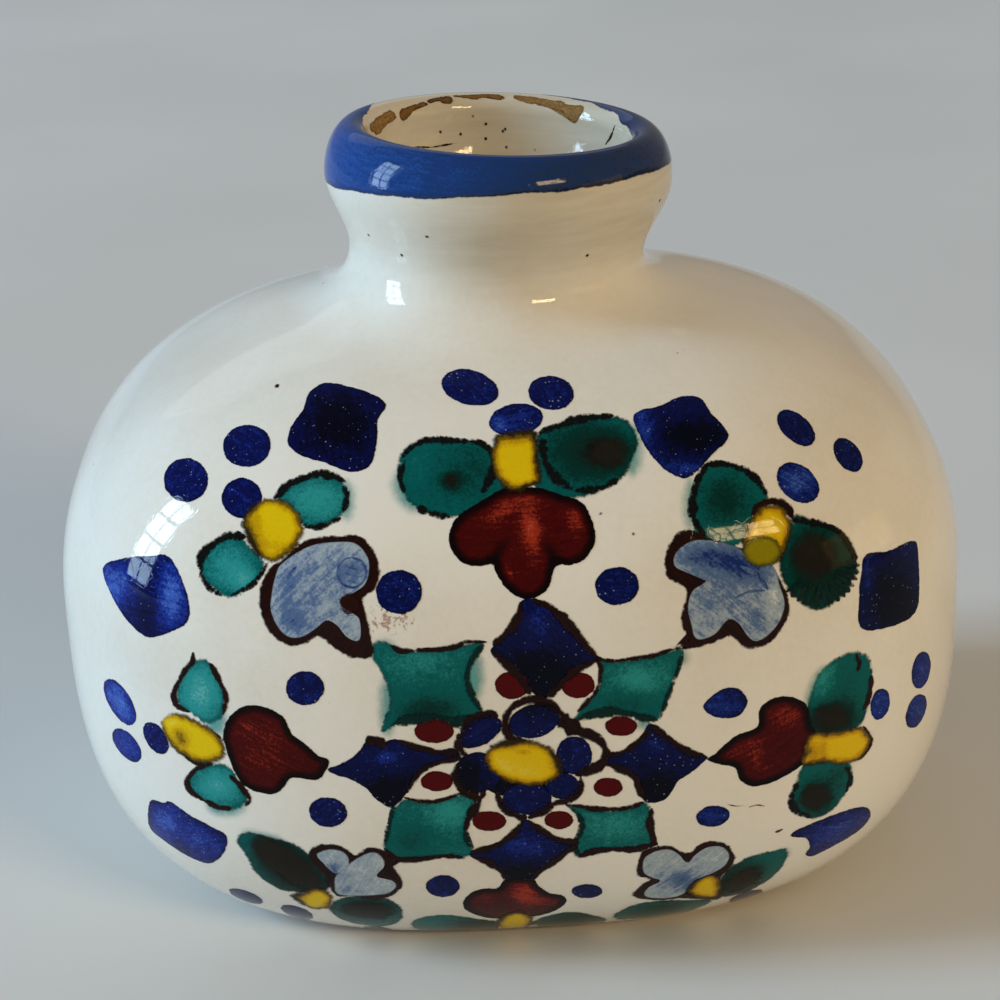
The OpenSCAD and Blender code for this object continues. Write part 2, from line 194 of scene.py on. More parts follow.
def collar_outline():
    """Radius and height of the collar's glaze from the joint up the outside, over the two rolls of
    the lip and down the inside: eased slopes joined by quarter ellipses."""
    s = np.append(CLOSE_SHARE, np.linspace(0, 1, COLLAR_STEPS)[1:])
    turn = np.linspace(0, math.pi / 2, COLLAR_STEPS)[1:]
    radius = [[WAIST_R], mix(WAIST_R, LIP_R, ease(s)), mix(CREST_R, LIP_R, np.cos(turn))]
    radius += [mix(CREST_R, MOUTH_R, np.sin(turn)), mix(MOUTH_R, THROAT_R, ease(s))]
    z = [[0], LIP_Z * s, LIP_Z + LIP_ROLL_H * np.sin(turn)]
    z += [COLLAR_H - MOUTH_ROLL_H * (1 - np.cos(turn)), (COLLAR_H - MOUTH_ROLL_H) * (1 - s)]
    return np.concatenate(radius), np.concatenate(z)


COLLAR_R, COLLAR_Z = collar_outline()
COLLAR_ARC = np.append(0, np.cumsum(np.hypot(np.diff(COLLAR_R), np.diff(COLLAR_Z))))


def on_collar(bearing, arc, lift):
    """Points of the collar at a bearing and a length along its outline from the joint, lifted
    square to the outline."""
    radius = np.interp(arc, COLLAR_ARC, COLLAR_R)
    z = np.interp(arc, COLLAR_ARC, COLLAR_Z)
    run = np.interp(arc, COLLAR_ARC, np.gradient(COLLAR_R, COLLAR_ARC))
    climb = np.interp(arc, COLLAR_ARC, np.gradient(COLLAR_Z, COLLAR_ARC))
    level = np.hypot(run, climb)
    points = round_axis(radius + lift * climb / level, bearing, JOINT_Z + z - lift * run / level)
    return leaned(points, 1.0)


def gauge(points):
    """How far out points lie on the body, 1 on the glaze: the superellipsoid's own norm."""
    z = points[..., 2] - BELLY_Z
    square = np.where(z > 0, SHOULDER_SQUARE, LOWER_SQUARE)
    height = np.where(z > 0, SHOULDER_RISE, LOWER_DROP)
    across = np.abs(points[..., 0]) / HALF_W
    deep = np.abs(points[..., 1]) / HALF_D
    share = (across**PLAN_SQUARE + deep**PLAN_SQUARE) ** (1 / PLAN_SQUARE)
    return (share**square + (np.abs(z) / height) ** square) ** (1 / square)


def outward(points):
    """Unit normals of the glaze, from central differences of the gauge."""
    step = 0.01
    slopes = [gauge(points + step * axis) - gauge(points - step * axis) for axis in np.eye(3)]
    normals = np.stack(slopes, -1)
    return normals / np.linalg.norm(normals, axis=-1, keepdims=True)


def camera_axes():
    """Right, up and forward of the camera, rolled about its line of sight."""
    forward = (AIM - EYE) / np.linalg.norm(AIM - EYE)
    level = np.cross(forward, [0, 0, 1.0])
    level /= np.linalg.norm(level)
    upright = np.cross(level, forward)
    right = math.cos(ROLL) * level + math.sin(ROLL) * upright
    return right, math.cos(ROLL) * upright - math.sin(ROLL) * level, forward


def laid(pixels, lift):
    """Points where sight lines through photo pixels meet the glaze, lifted off it. The line's inmost
    point is found by thirds, then the stretch from the eye to it is halved down to the surface. A
    line that misses ends on the rim of the body, and points near the neck climb its flare."""
    right, up, forward = camera_axes()
    offset = pixels - IMAGE / 2
    sight = FOCAL * forward + offset[..., :1] * right - offset[..., 1:] * up
    sight /= np.linalg.norm(sight, axis=-1, keepdims=True)
    near = np.full(pixels.shape[:-1] + (1,), SIGHT_NEAR)
    far = np.full_like(near, SIGHT_FAR)
    for _ in range(SIGHT_STEPS):
        first, second = mix(near, far, 1 / 3), mix(near, far, 2 / 3)
        closer = (gauge(EYE + first * sight) < gauge(EYE + second * sight))[..., None]
        near, far = np.where(closer, near, first), np.where(closer, second, far)
    outer, inner = np.full_like(near, SIGHT_NEAR), near
    for _ in range(SIGHT_STEPS):
        middle = (outer + inner) / 2
        inside = (gauge(EYE + middle * sight) < 1)[..., None]
        outer, inner = np.where(inside, outer, middle), np.where(inside, middle, inner)
    points = EYE + inner * sight
    centre = np.array([0, 0, BELLY_Z])
    points = centre + (points - centre) / np.maximum(gauge(points), 1)[..., None]
    radius = np.hypot(points[..., 0], points[..., 1])
    climb = 1 - np.sqrt(np.clip((radius - WAIST_R) / (FLARE_R - WAIST_R), 0, 1))
    on_flare = flare(climb, np.arctan2(points[..., 1], points[..., 0]), 0.0)
    top = (radius < FLARE_R) & (points[..., 2] > BELLY_Z)
    return np.where(top[..., None], on_flare, points) + lift * outward(points)


class Shape:
    """A mesh being gathered: points, faces and point attributes of one piece."""

    def __init__(self):
        self.points = []
        self.faces = []
        self.marks = {"load": [], "inset": [], "brush": []}
        self.count = 0

    def add(self, points, faces, **marks):
        """Adds points in millimetres, faces that index them and values for each point."""
        flat = np.reshape(points, (-1, 3))
        self.points.append(flat)
        self.faces += [face + self.count for face in faces]
        self.count += len(flat)
        for name, values in marks.items():
            self.marks[name].append(np.reshape(values, (len(flat), -1)))

    def piece(self, name, finish, slot, *nodes, crease=40):
        """Makes the mesh object, with edges sharper than the crease left sharp, and says what it rides on
        and which finish it has. It hides the nodes it stands for."""
        mesh = bpy.data.meshes.new(name)
        faces = [row for block in self.faces for row in block.tolist()]
        mesh.from_pydata(np.concatenate(self.points) * MM, [], faces)
        for mark, values in self.marks.items():
            if values:
                values = np.concatenate(values).astype(np.float32)
                kind, field = ("FLOAT", "value") if values.shape[1] == 1 else ("FLOAT_VECTOR", "vector")
                mesh.attributes.new(mark, kind, "POINT").data.foreach_set(field, values.ravel())
        mesh.polygons.foreach_set("use_smooth", np.ones(len(mesh.polygons), bool))
        mesh.set_sharp_from_angle(angle=math.radians(crease))
        mesh.materials.append(finish)
        mesh.update()
        obj = bpy.data.objects.new(name, mesh)
        bpy.context.scene.collection.objects.link(obj)
        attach(obj, "root")
        if nodes:
            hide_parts(*nodes)
        return obj


def grid_faces(rows, columns, wrap_rows=False, wrap_columns=False):
    """Quads between the neighbours of a grid, over its ends too where it wraps."""
    i, j = np.meshgrid(np.arange(rows if wrap_rows else rows - 1),
                       np.arange(columns if wrap_columns else columns - 1), indexing="ij")
    below, beside = (i + 1) % rows, (j + 1) % columns
    corners = (i * columns + j, i * columns + beside, below * columns + beside, below * columns + j)
    return np.stack(corners, -1).reshape(-1, 4)


def fan_faces(rings, around):
    """Triangles from a middle point to its first ring, then quads out to the last ring."""
    first = np.arange(around)
    fan = np.stack([np.zeros_like(first), 1 + first, 1 + (first + 1) % around], -1)
    return [fan, 1 + grid_faces(rings, around, wrap_columns=True)[:, ::-1]]


# Fineness of the drawn outlines: spacing of samples in pixels, then counts
SPACING = 3.0
STRETCH_STEPS = 24
LEAST_SAMPLES = 12
OVAL_POINTS = 16
LEAST_RINGS = 5
MOST_RINGS = 18


def smooth_curve(points, closed, spacing=SPACING):
    """Catmull-Rom curve through given points: on each stretch a cubic whose end slopes are
    half the chord between the neighbours. It is sampled at an even spacing in pixels."""
    points = np.array(points, float)
    if closed:
        before, after = np.roll(points, 1, 0), np.roll(points, -1, 0)
        beyond, start = np.roll(points, -2, 0), points
    else:
        ends = np.concatenate([2 * points[:1] - points[1:2], points, 2 * points[-1:] - points[-2:-1]])
        before, start, after, beyond = ends[:-3], ends[1:-2], ends[2:-1], ends[3:]
    s = np.linspace(0, 1, STRETCH_STEPS, endpoint=False)[:, None, None]
    curve = start + s / 2 * (after - before) + s**2 / 2 * (2 * before - 5 * start + 4 * after - beyond)
    curve = curve + s**3 / 2 * (3 * start - 3 * after + beyond - before)
    dense = curve.transpose(1, 0, 2).reshape(-1, 2)
    dense = np.concatenate([dense, points[:1] if closed else points[-1:]])
    length = np.append(0, np.cumsum(np.hypot(*np.diff(dense, axis=0).T)))
    count = max(int(length[-1] / spacing), LEAST_SAMPLES)
    even = np.linspace(0, length[-1], count, endpoint=not closed)
    return np.stack([np.interp(even, length, dense[:, k]) for k in (0, 1)], -1)


def oval(x, y, half_w, half_h, tilt=0.0):
    """Closed outline of an ellipse in pixels, tilted counter-clockwise by degrees."""
    turn = np.linspace(0, 2 * math.pi, OVAL_POINTS, endpoint=False)
    c, s = math.cos(math.radians(tilt)), math.sin(math.radians(tilt))
    across, down = half_w * np.cos(turn), half_h * np.sin(turn)
    return np.stack([x + c * across + s * down, y - s * across + c * down], -1)


def blotted(pixels, load, blots):
    """Pigment load over pixels: an even load plus soft oval blots, amount * exp(-distance^2)."""
    total = np.full(pixels.shape[:-1], float(load))
    for x, y, half_w, half_h, tilt, amount in blots:
        c, s = math.cos(math.radians(tilt)), math.sin(math.radians(tilt))
        dx, dy = pixels[..., 0] - x, pixels[..., 1] - y
        along, across = (c * dx - s * dy) / half_w, (s * dx + c * dy) / half_h
        total += amount * np.exp(-along**2 - across**2)
    return total


def edge_distance(points, loop):
    """Least distance in millimetres from points to the stretches of a closed loop."""
    start, step = loop, np.roll(loop, -1, 0) - loop
    gap = points[:, None] - start
    share = np.clip((gap * step).sum(-1) / (step * step).sum(-1), 0, 1)
    return np.linalg.norm(gap - share[..., None] * step, axis=-1).min(1)


# Brush: room for a ragged edge outside a touch in pixels, stretch of its hairs along, across and by
# seed, and a stroke's section and how its width ends and wavers
MARGIN = 2.5
WIDE_MARGIN = 7.0
HAIR_STRETCH = (0.35, 2.6, 1.0)
RAY_SCALE = np.array([HAIR_STRETCH[1] / HAIR_STRETCH[0], 1])
SEED_STEP = 7.3
SEED_SPAN = 97
ACROSS = np.array([-1.35, -1, -0.5, 0, 0.5, 1, 1.35])
EDGE_AT = 1
MIDDLE_AT = 3
END_POWER = 5
END_LEAST = 0.05
WAVER = 0.22
WAVER_TURNS = 11
WAVER_SHIFT = 0.1


def on_lip(spots, lift):
    """Points of the collar at spots given in millimetres round the lip and along its outline."""
    return on_collar(spots[..., 0] / CREST_R, spots[..., 1], lift)


def lip_spots(degrees_and_arcs):
    """Spots on the lip in millimetres, from bearings in degrees and lengths along the outline."""
    return np.array(degrees_and_arcs, float) * [math.radians(CREST_R), 1]


def touch(shape, outline, load, lift, blots=(), margin=MARGIN, lay=laid, spacing=SPACING, radial=False):
    """Adds one brush touch: rings shrink from just outside its smoothed outline to its middle, all
    laid on the glaze. It carries its pigment load, its distance in from the edge and brush
    coordinates in millimetres, along and across its longest direction, or where its hairs are
    radial the same all along each ray from the middle."""
    loop = smooth_curve(outline, True, spacing)
    middle = (loop.max(0) + loop.min(0)) / 2
    arms = loop - middle
    size = np.hypot(*arms.T)
    rings = int(np.clip(size.mean() / spacing, LEAST_RINGS, MOST_RINGS))
    shares = np.append(np.linspace(0, 1, rings + 1)[1:], 0)
    grid = middle + shares[:, None, None] * arms
    grid[-1] = loop + margin * arms / size[:, None]
    pixels = np.concatenate([[middle], grid.reshape(-1, 2)])
    points = lay(pixels, lift)
    edge = lay(loop, lift)
    inset = edge_distance(points, edge)
    inset[-len(loop):] *= -1
    along = np.linalg.svd(edge - edge.mean(0), full_matrices=False)[2]
    local = (points - points[0]) @ along[:2].T
    if radial:
        reach = np.hypot(*local.T)[:, None]
        local = RAY_SCALE * reach.max() * local / np.maximum(reach, 0.01)
    seed = np.full((len(points), 1), SEED_STEP * shape.count % SEED_SPAN)
    shape.add(points, fan_faces(rings + 1, len(loop)), load=blotted(pixels, load, blots),
              inset=inset, brush=np.concatenate([local, seed], 1))


def stroke(shape, route, width, load, lift, lay=laid, spacing=SPACING, crossed=False):
    """Adds one brush line: a ribbon along a smoothed route in pixels. Its width swells as
    (1 - |2s - 1|^5)^(1/2) between round ends and wavers a little on the way. Its hairs run along it,
    or across it where they are crossed."""
    line = smooth_curve(route, False, spacing)
    s = np.linspace(0, 1, len(line))
    swell = np.sqrt(np.maximum(1 - np.abs(2 * s - 1) ** END_POWER, END_LEAST))
    swell = swell * (1 + WAVER * np.sin(WAVER_SHIFT * shape.count + WAVER_TURNS * s))
    side = np.gradient(line, axis=0)[:, ::-1] * [-1, 1]
    side /= np.hypot(*side.T)[:, None]
    half = (width / 2 * swell)[:, None]
    pixels = line[:, None] + ACROSS[:, None] * (half * side)[:, None]
    points = lay(pixels, lift)
    scale = np.linalg.norm(points[:, EDGE_AT] - points[:, MIDDLE_AT], axis=-1)[:, None]
    inset = scale * (1 - np.abs(ACROSS))
    steps = np.linalg.norm(np.diff(points[:, MIDDLE_AT], axis=0), axis=-1)
    length = np.append(0, np.cumsum(steps))[:, None]
    ways = (scale * ACROSS, length) if crossed else (length, scale * ACROSS)
    brush = np.stack(np.broadcast_arrays(*ways, SEED_STEP * shape.count % SEED_SPAN), -1)
    faces = grid_faces(len(line), len(ACROSS))
    shape.add(points, [faces], load=np.full(inset.shape, float(load)), inset=inset, brush=brush)


# Specular level of the glaze and of the pigments under it
GLAZE_GLOSS = 0.26
PIGMENT_GLOSS = 0.11

# Relief of the gloss: heights of its patterns, width of a craze line as a share of its cell, how far
# noise bends the line and how deep the whole is, in millimetres
WAVES_H = 3.0
PEEL_H = 0.12
CRAZE_H = 0.1
CRAZE_W = 0.035
CRAZE_BEND = 1.0
RELIEF_STRENGTH = 0.25
RELIEF_DEPTH = 0.1

# Scales of the patterns, in repeats per metre
WAVES_SCALE = 0.09 * PER_MM
PEEL_SCALE = 0.9 * PER_MM
CRAZE_SCALE = 0.5 * PER_MM
CLOUDS_SCALE = 0.035 * PER_MM
GRAIN_SCALE = 1.3 * PER_MM
RINGS_SCALE = 1.2 * PER_MM
SPECKS_SCALE = 0.16 * PER_MM
SAND_SCALE = 1.6 * PER_MM
CLAY_CLOUDS_SCALE = 0.12 * PER_MM
FINE_SCALE = 3.6 * PER_MM
UNEVEN_SCALE = 1.1 * PER_MM
PINHOLES_SCALE = 1.8 * PER_MM
SPARSE_SCALE = 0.5 * PER_MM

# Iron specks in the glaze and pinholes in the pigments: size and soft edge as shares of a cell
SPECK_COLOUR = (96, 80, 62)
SPECK_SHARE = 0.75
SPECK_R = 0.055
SPECK_EDGE = 0.012
SPECK_RARE = 0.45
PINHOLE_COLOUR = (176, 184, 205)
PINHOLE_R = 0.36
PINHOLE_EDGE = 0.05
PINHOLE_RARE = 0.34

# Browner glaze up the neck, in millimetres, and how far: thin glaze in level rings and painted shade
THIN_GLAZE_AND_SHADE = (188, 177, 154)
BROWN_NECK_FROM_Z = 65.0
BROWN_NECK_TO_Z = 77.0
# Painted shade: the browning is kept low on the neck's lit left and is full from its middle rightwards
LIT_SIDE_X = -15.0
SHADED_SIDE_X = 0.0
BROWNING_ON_LIT_SIDE = 0.25
EVEN_SHADE_AND_THIN = 0.42
THIN_IN_RINGS = 0.6
RING_STRETCH = (0.1, 0.1, 1.0)

# Shares of the patterns in the ground colours, roughness with its change by grain, and the pits of
# the clay in millimetres
CLOUDS_SHARE = 0.75
SAND_SHARE = 0.6
GLAZE_ROUGH = 0.02
GLAZE_GRAIN = 0.05
CLAY_ROUGH = 0.75
CLAY_GRAIN = 0.2
PIT_STRENGTH = 0.5
PIT_DEPTH = 0.15


class Value:
    """A shader socket that takes part in arithmetic: each operator adds one Math node."""

    def __init__(self, finish, socket):
        self.finish = finish
        self.socket = socket

    def maths(self, operation, *others):
        """Adds one Math node on values and numbers."""
        settings = {"operation": operation}
        return self.finish.node("ShaderNodeMath", settings, dict(enumerate(others)))

    def __add__(self, other):
        return self.maths("ADD", self, other)

    def __sub__(self, other):
        return self.maths("SUBTRACT", self, other)

    def __rsub__(self, other):
        return self.maths("SUBTRACT", other, self)

    def __mul__(self, other):
        return self.maths("MULTIPLY", self, other)

    __radd__ = __add__
    __rmul__ = __mul__


def linear(colour):
    """Linear RGBA of an sRGB colour given as three numbers out of 255."""
    c = np.array(colour) / 255
    c = np.where(c <= 0.04045, c / 12.92, ((c + 0.055) / 1.055) ** 2.4)
    return (*c.tolist(), 1.0)


class Finish:
    """A material under construction round one Principled shader."""

    def __init__(self, name):
        self.material = bpy.data.materials.new(name)
        self.material.use_nodes = True
        self.tree = self.material.node_tree
        self.shader = self.tree.nodes["Principled BSDF"]

    def node(self, kind, settings=None, inputs=None, output=0):
        """Adds a node: its settings first, a ramp's stops among them, then a value or link for each
        named or numbered socket. Gives back one output."""
        node = self.tree.nodes.new(kind)
        for name, value in (settings or {}).items():
            if name == "stops":
                self.set_stops(node.color_ramp.elements, value)
            else:
                setattr(node, name, value)
        for socket, value in (inputs or {}).items():
            self.feed(node.inputs[socket], value)
        return Value(self, node.outputs[output])

    def set_stops(self, elements, stops):
        """Gives a ramp its stops, a table of places and colours in order."""
        places = list(stops)
        elements[0].position, elements[1].position = places[0], places[-1]
        for place in places[1:-1]:
            elements.new(place)
        for element, colour in zip(elements, stops.values()):
            element.color = linear(colour)

    def feed(self, socket, value):
        """Links a value to a socket, or sets the socket to a plain number, colour or vector."""
        if isinstance(value, Value):
            self.tree.links.new(value.socket, socket)
        else:
            socket.default_value = value

    def set(self, **sockets):
        """Feeds the shader's sockets, with underscores for the spaces of their names."""
        for name, value in sockets.items():
            self.feed(self.shader.inputs[name.replace("_", " ")], value)

    def place(self):
        """Place on the object, in metres."""
        return self.node("ShaderNodeTexCoord", output="Object")

    def mark(self, name, output="Fac"):
        """Attribute that the mesh carries."""
        return self.node("ShaderNodeAttribute", {"attribute_name": name}, output=output)

    def noise(self, vector, scale, detail=2.0, rough=0.5):
        """Fractal noise, with its scale in repeats per unit of the vector."""
        inputs = {"Vector": vector, "Scale": scale, "Detail": detail, "Roughness": rough}
        return self.node("ShaderNodeTexNoise", None, inputs)

    def ramp(self, value, stops):
        """Colour that eases from stop to stop as a value grows."""
        colour = self.node("ShaderNodeValToRGB", {"stops": stops}, {"Fac": value})
        colour.socket.node.color_ramp.interpolation = "EASE"
        return colour

    def step(self, value, low, high, start=0.0, end=1.0):
        """Smooth change from start to end as a value goes from low to high."""
        settings = {"interpolation_type": "SMOOTHSTEP"}
        return self.node("ShaderNodeMapRange", settings, {0: value, 1: low, 2: high, 3: start, 4: end})

    def blend(self, share, first, second):
        """Mixes two colours by a share."""
        colours = [linear(c) if isinstance(c, tuple) else c for c in (first, second)]
        settings = {"data_type": "RGBA"}
        return self.node("ShaderNodeMix", settings, {0: share, 6: colours[0], 7: colours[1]}, 2)

    def relief(self):
        """Normal of a glossy glaze: slow waves, a fine orange peel and hair-thin craze lines."""
        place = self.place()
        waves = self.noise(place, WAVES_SCALE, 1.0)
        peel = self.noise(place, PEEL_SCALE, 2.0)
        inputs = {"Vector": place, "Scale": CRAZE_SCALE}
        bent = self.node("ShaderNodeTexNoise", None, inputs, 1)
        shifted = self.node("ShaderNodeVectorMath", {"operation": "MULTIPLY_ADD"},
                            {0: bent, 1: [CRAZE_BEND * MM] * 3, 2: place})
        cells = self.node("ShaderNodeTexVoronoi", {"feature": "DISTANCE_TO_EDGE"},
                          {"Vector": shifted, "Scale": CRAZE_SCALE})
        craze = self.step(cells, 0.0, CRAZE_W, 1.0, 0.0)
        height = WAVES_H * waves + PEEL_H * peel - CRAZE_H * craze
        return self.bump(height, RELIEF_STRENGTH, RELIEF_DEPTH)

    def bump(self, height, strength, depth):
        """Normal raised by a height pattern, with its depth in millimetres."""
        inputs = {"Strength": strength, "Distance": depth * MM, "Height": height}
        return self.node("ShaderNodeBump", None, inputs)


def glaze_finish(name, ground, shade):
    """Cream tin glaze: mottled ground with warm pools, browner up the neck in level rings of thin glaze
    and in painted shade, most of all on its right, with rare iron specks and a crazed gloss."""
    f = Finish(name)
    place = f.place()
    clouds = f.noise(place, CLOUDS_SCALE, 3.0, 0.6)
    grain = f.noise(place, GRAIN_SCALE, 3.0, 0.7)
    colour = f.ramp(mix(grain, clouds, CLOUDS_SHARE), {0.3: shade, 0.62: ground})
    aside, height = (f.node("ShaderNodeSeparateXYZ", None, {0: place}, axis) for axis in (0, 2))
    level = f.node("ShaderNodeVectorMath", {"operation": "MULTIPLY"}, {0: place, 1: RING_STRETCH})
    rings = f.noise(level, RINGS_SCALE, 3.0, 0.6)
    # Browning of the neck: thin glaze in level rings, and painted shade spread evenly over it
    thin = f.step(height, BROWN_NECK_FROM_Z * MM, BROWN_NECK_TO_Z * MM) * (EVEN_SHADE_AND_THIN + THIN_IN_RINGS * rings)
    # Painted shade: less browning on the neck's lit left side
    thin = thin * f.step(aside, LIT_SIDE_X * MM, SHADED_SIDE_X * MM, BROWNING_ON_LIT_SIDE, 1.0)
    colour = f.blend(thin, colour, THIN_GLAZE_AND_SHADE)
    settings = {"feature": "F1"}
    inputs = {"Vector": place, "Scale": SPECKS_SCALE}
    spot = f.node("ShaderNodeTexVoronoi", settings, inputs)
    kind = f.node("ShaderNodeTexVoronoi", settings, inputs, 1)
    chance = f.node("ShaderNodeSeparateColor", None, {0: kind})
    speck = f.step(spot - SPECK_R * (chance - SPECK_RARE), 0.0, SPECK_EDGE, SPECK_SHARE, 0.0)
    f.set(Base_Color=f.blend(speck, colour, SPECK_COLOUR))
    f.set(Roughness=GLAZE_ROUGH + GLAZE_GRAIN * grain, Normal=f.relief())
    f.set(Specular_IOR_Level=GLAZE_GLOSS)
    return f.material


def clay_finish(name, pale, deep):
    """Bare fired clay: sandy two-tone body with fine pits."""
    f = Finish(name)
    place = f.place()
    sand = f.noise(place, SAND_SCALE, 6.0, 0.7)
    clouds = f.noise(place, CLAY_CLOUDS_SCALE, 2.0)
    f.set(Base_Color=f.ramp(mix(clouds, sand, SAND_SHARE), {0.35: deep, 0.65: pale}))
    f.set(Roughness=CLAY_ROUGH + CLAY_GRAIN * sand, Normal=f.bump(sand, PIT_STRENGTH, PIT_DEPTH))
    return f.material


def pigment(name, stops, streaks=0.3, grain=0.2, ragged=0.16, soft=0.05, rim=None, specks=0.0,
            alpha=1.0, rough=GLAZE_ROUGH, spread=0.0, hair=0.0, mottle=0.0):
    """Brushed pigment under the glaze. Its colour follows the load through a ramp of stops, with
    streaks along the brush, grain, mottle and an optional rim of (width, load, softness) inside
    the edge. The edge is ragged by noise and by brush hairs, soft over a width in millimetres and
    can spread past its outline. Specks leave pale pinholes."""
    f = Finish(name)
    place = f.place()
    inset = f.mark("inset")
    stretched = f.node("ShaderNodeVectorMath", {"operation": "MULTIPLY"},
                       {0: f.mark("brush", "Vector"), 1: HAIR_STRETCH})
    hairs = f.noise(stretched, 1.0, 3.0, 0.6)
    fine = f.noise(place, FINE_SCALE, 3.0, 0.65)
    uneven = f.noise(place, UNEVEN_SCALE, 3.0, 0.6)
    load = f.mark("load") + streaks * (hairs - 0.5) + grain * (fine - 0.5)
    if mottle:
        load = load + mottle * (uneven - 0.5)
    edge = inset + 2 * ragged * (uneven - 0.5) + (ragged * (fine - 0.5) + spread)
    if hair:
        edge = edge + hair * (hairs - 0.5)
    if rim:
        width, extra, softness = rim
        load = load + f.step(edge, width - softness, width + softness, extra, 0.0)
    colour = f.ramp(load, stops)
    if specks:
        inputs = {"Vector": place, "Scale": PINHOLES_SCALE}
        holes = f.node("ShaderNodeTexVoronoi", {"feature": "F1"}, inputs)
        sparse = f.noise(place, SPARSE_SCALE, 1.0)
        hole = f.step(holes - PINHOLE_R * (sparse - PINHOLE_RARE), 0.0, PINHOLE_EDGE, specks, 0.0)
        colour = f.blend(hole, colour, PINHOLE_COLOUR)
    cover = f.step(edge, -soft, soft, 0.0, alpha)
    f.set(Base_Color=colour, Alpha=cover, Roughness=rough + GLAZE_GRAIN * fine, Normal=f.relief())
    f.set(Specular_IOR_Level=PIGMENT_GLOSS)
    return f.material


COBALT = pigment(
    "cobalt_blue",
    {0.0: (118, 148, 204), 0.3: (56, 88, 168), 0.5: (18, 40, 124), 0.7: (5, 13, 68), 1.0: (1, 2, 20)},
    streaks=0.4, grain=0.55, rim=(0.15, 0.12, 0.15), specks=0.45, mottle=0.35)
TEAL = pigment(
    "copper_teal",
    {0.0: (128, 194, 190), 0.25: (40, 142, 138), 0.5: (0, 88, 86), 0.75: (0, 46, 40), 1.0: (18, 20, 14)},
    streaks=0.05, grain=0.34, ragged=0.3, soft=0.22, rim=(0.3, 0.07, 0.3), hair=0.45, mottle=0.18)
HAIRY = pigment(
    "copper_black_edge",
    {0.0: (10, 84, 78), 0.35: (4, 40, 36), 0.7: (12, 14, 12), 1.0: (6, 4, 4)},
    streaks=0.6, grain=0.6, ragged=0.45, soft=0.2, hair=0.6)
BURNT = pigment(
    "burnt_copper",
    {0.0: (14, 50, 42), 0.5: (36, 32, 24), 1.0: (22, 15, 11)},
    streaks=1.1, grain=0.9, ragged=0.8, soft=0.7, alpha=0.8, hair=1.6)
TEAL_HALO = pigment(
    "teal_halo",
    {0.0: (128, 196, 192), 1.0: (4, 116, 114)},
    streaks=0.2, grain=0.2, ragged=0.3, soft=1.0, alpha=0.9, spread=-0.35)
OXBLOOD = pigment(
    "oxblood_red",
    {0.0: (206, 130, 96), 0.25: (154, 46, 26), 0.5: (68, 4, 4), 0.75: (38, 1, 1), 1.0: (12, 1, 1)},
    streaks=0.4, grain=0.45, rim=(0.65, 0.5, 0.45))
RED_DOT = pigment(
    "oxblood_dot",
    {0.0: (120, 20, 14), 0.5: (76, 2, 3), 1.0: (36, 1, 2)},
    streaks=0.3, grain=0.3, rim=(0.15, 0.25, 0.15))
PALE_BLUE = pigment(
    "pale_blue_wash",
    {0.0: (206, 212, 210), 0.3: (154, 168, 178), 0.6: (84, 108, 146), 1.0: (22, 44, 108)},
    streaks=0.6, grain=0.5, soft=0.14, spread=0.24, mottle=0.5)
YELLOW = pigment(
    "antimony_yellow",
    {0.0: (232, 212, 96), 0.35: (222, 186, 6), 0.6: (194, 150, 4), 0.8: (112, 86, 12), 1.0: (44, 32, 10)},
    streaks=0.25, grain=0.35, ragged=0.4, soft=0.26, rim=(0.5, 0.6, 0.62), hair=0.6)
OLIVE = pigment(
    "olive_over_leaf",
    {0.0: (206, 194, 40), 0.5: (140, 128, 6), 1.0: (64, 62, 12)},
    streaks=0.3, grain=0.4, ragged=0.3, soft=0.2, rim=(0.35, 0.35, 0.35), hair=0.4)
MANGANESE = pigment(
    "manganese_line",
    {0.0: (84, 48, 36), 0.4: (44, 17, 12), 1.0: (14, 5, 4)},
    streaks=0.5, grain=0.4, ragged=0.32, soft=0.14)
FLAKED = pigment(
    "flaked_clay",
    {0.0: (176, 146, 98), 0.4: (126, 92, 46), 1.0: (50, 30, 12)},
    streaks=0.4, grain=0.7, ragged=0.25, soft=0.06, rim=(0.1, 0.35, 0.1), rough=0.65)
SMUDGE = pigment(
    "iron_smudge",
    {0.0: (196, 150, 130), 1.0: (110, 52, 38)},
    streaks=0.3, grain=1.2, ragged=4.0, soft=0.5, alpha=0.55, spread=-0.9)
RIM_BLUE = pigment(
    "rim_blue",
    {0.0: (92, 128, 190), 0.35: (36, 76, 144), 0.65: (26, 56, 112), 0.85: (40, 54, 86), 1.0: (22, 30, 56)},
    streaks=0.5, grain=0.6, ragged=0.18, soft=0.08, rim=(0.2, 0.12, 0.2))
CREAM_GLAZE = glaze_finish("cream_glaze", (232, 227, 215), (222, 213, 196))
LINING_GLAZE = glaze_finish("lining_glaze", (216, 210, 194), (202, 192, 168))
BARE_CLAY = clay_finish("bare_clay", (196, 156, 112), (164, 120, 80))

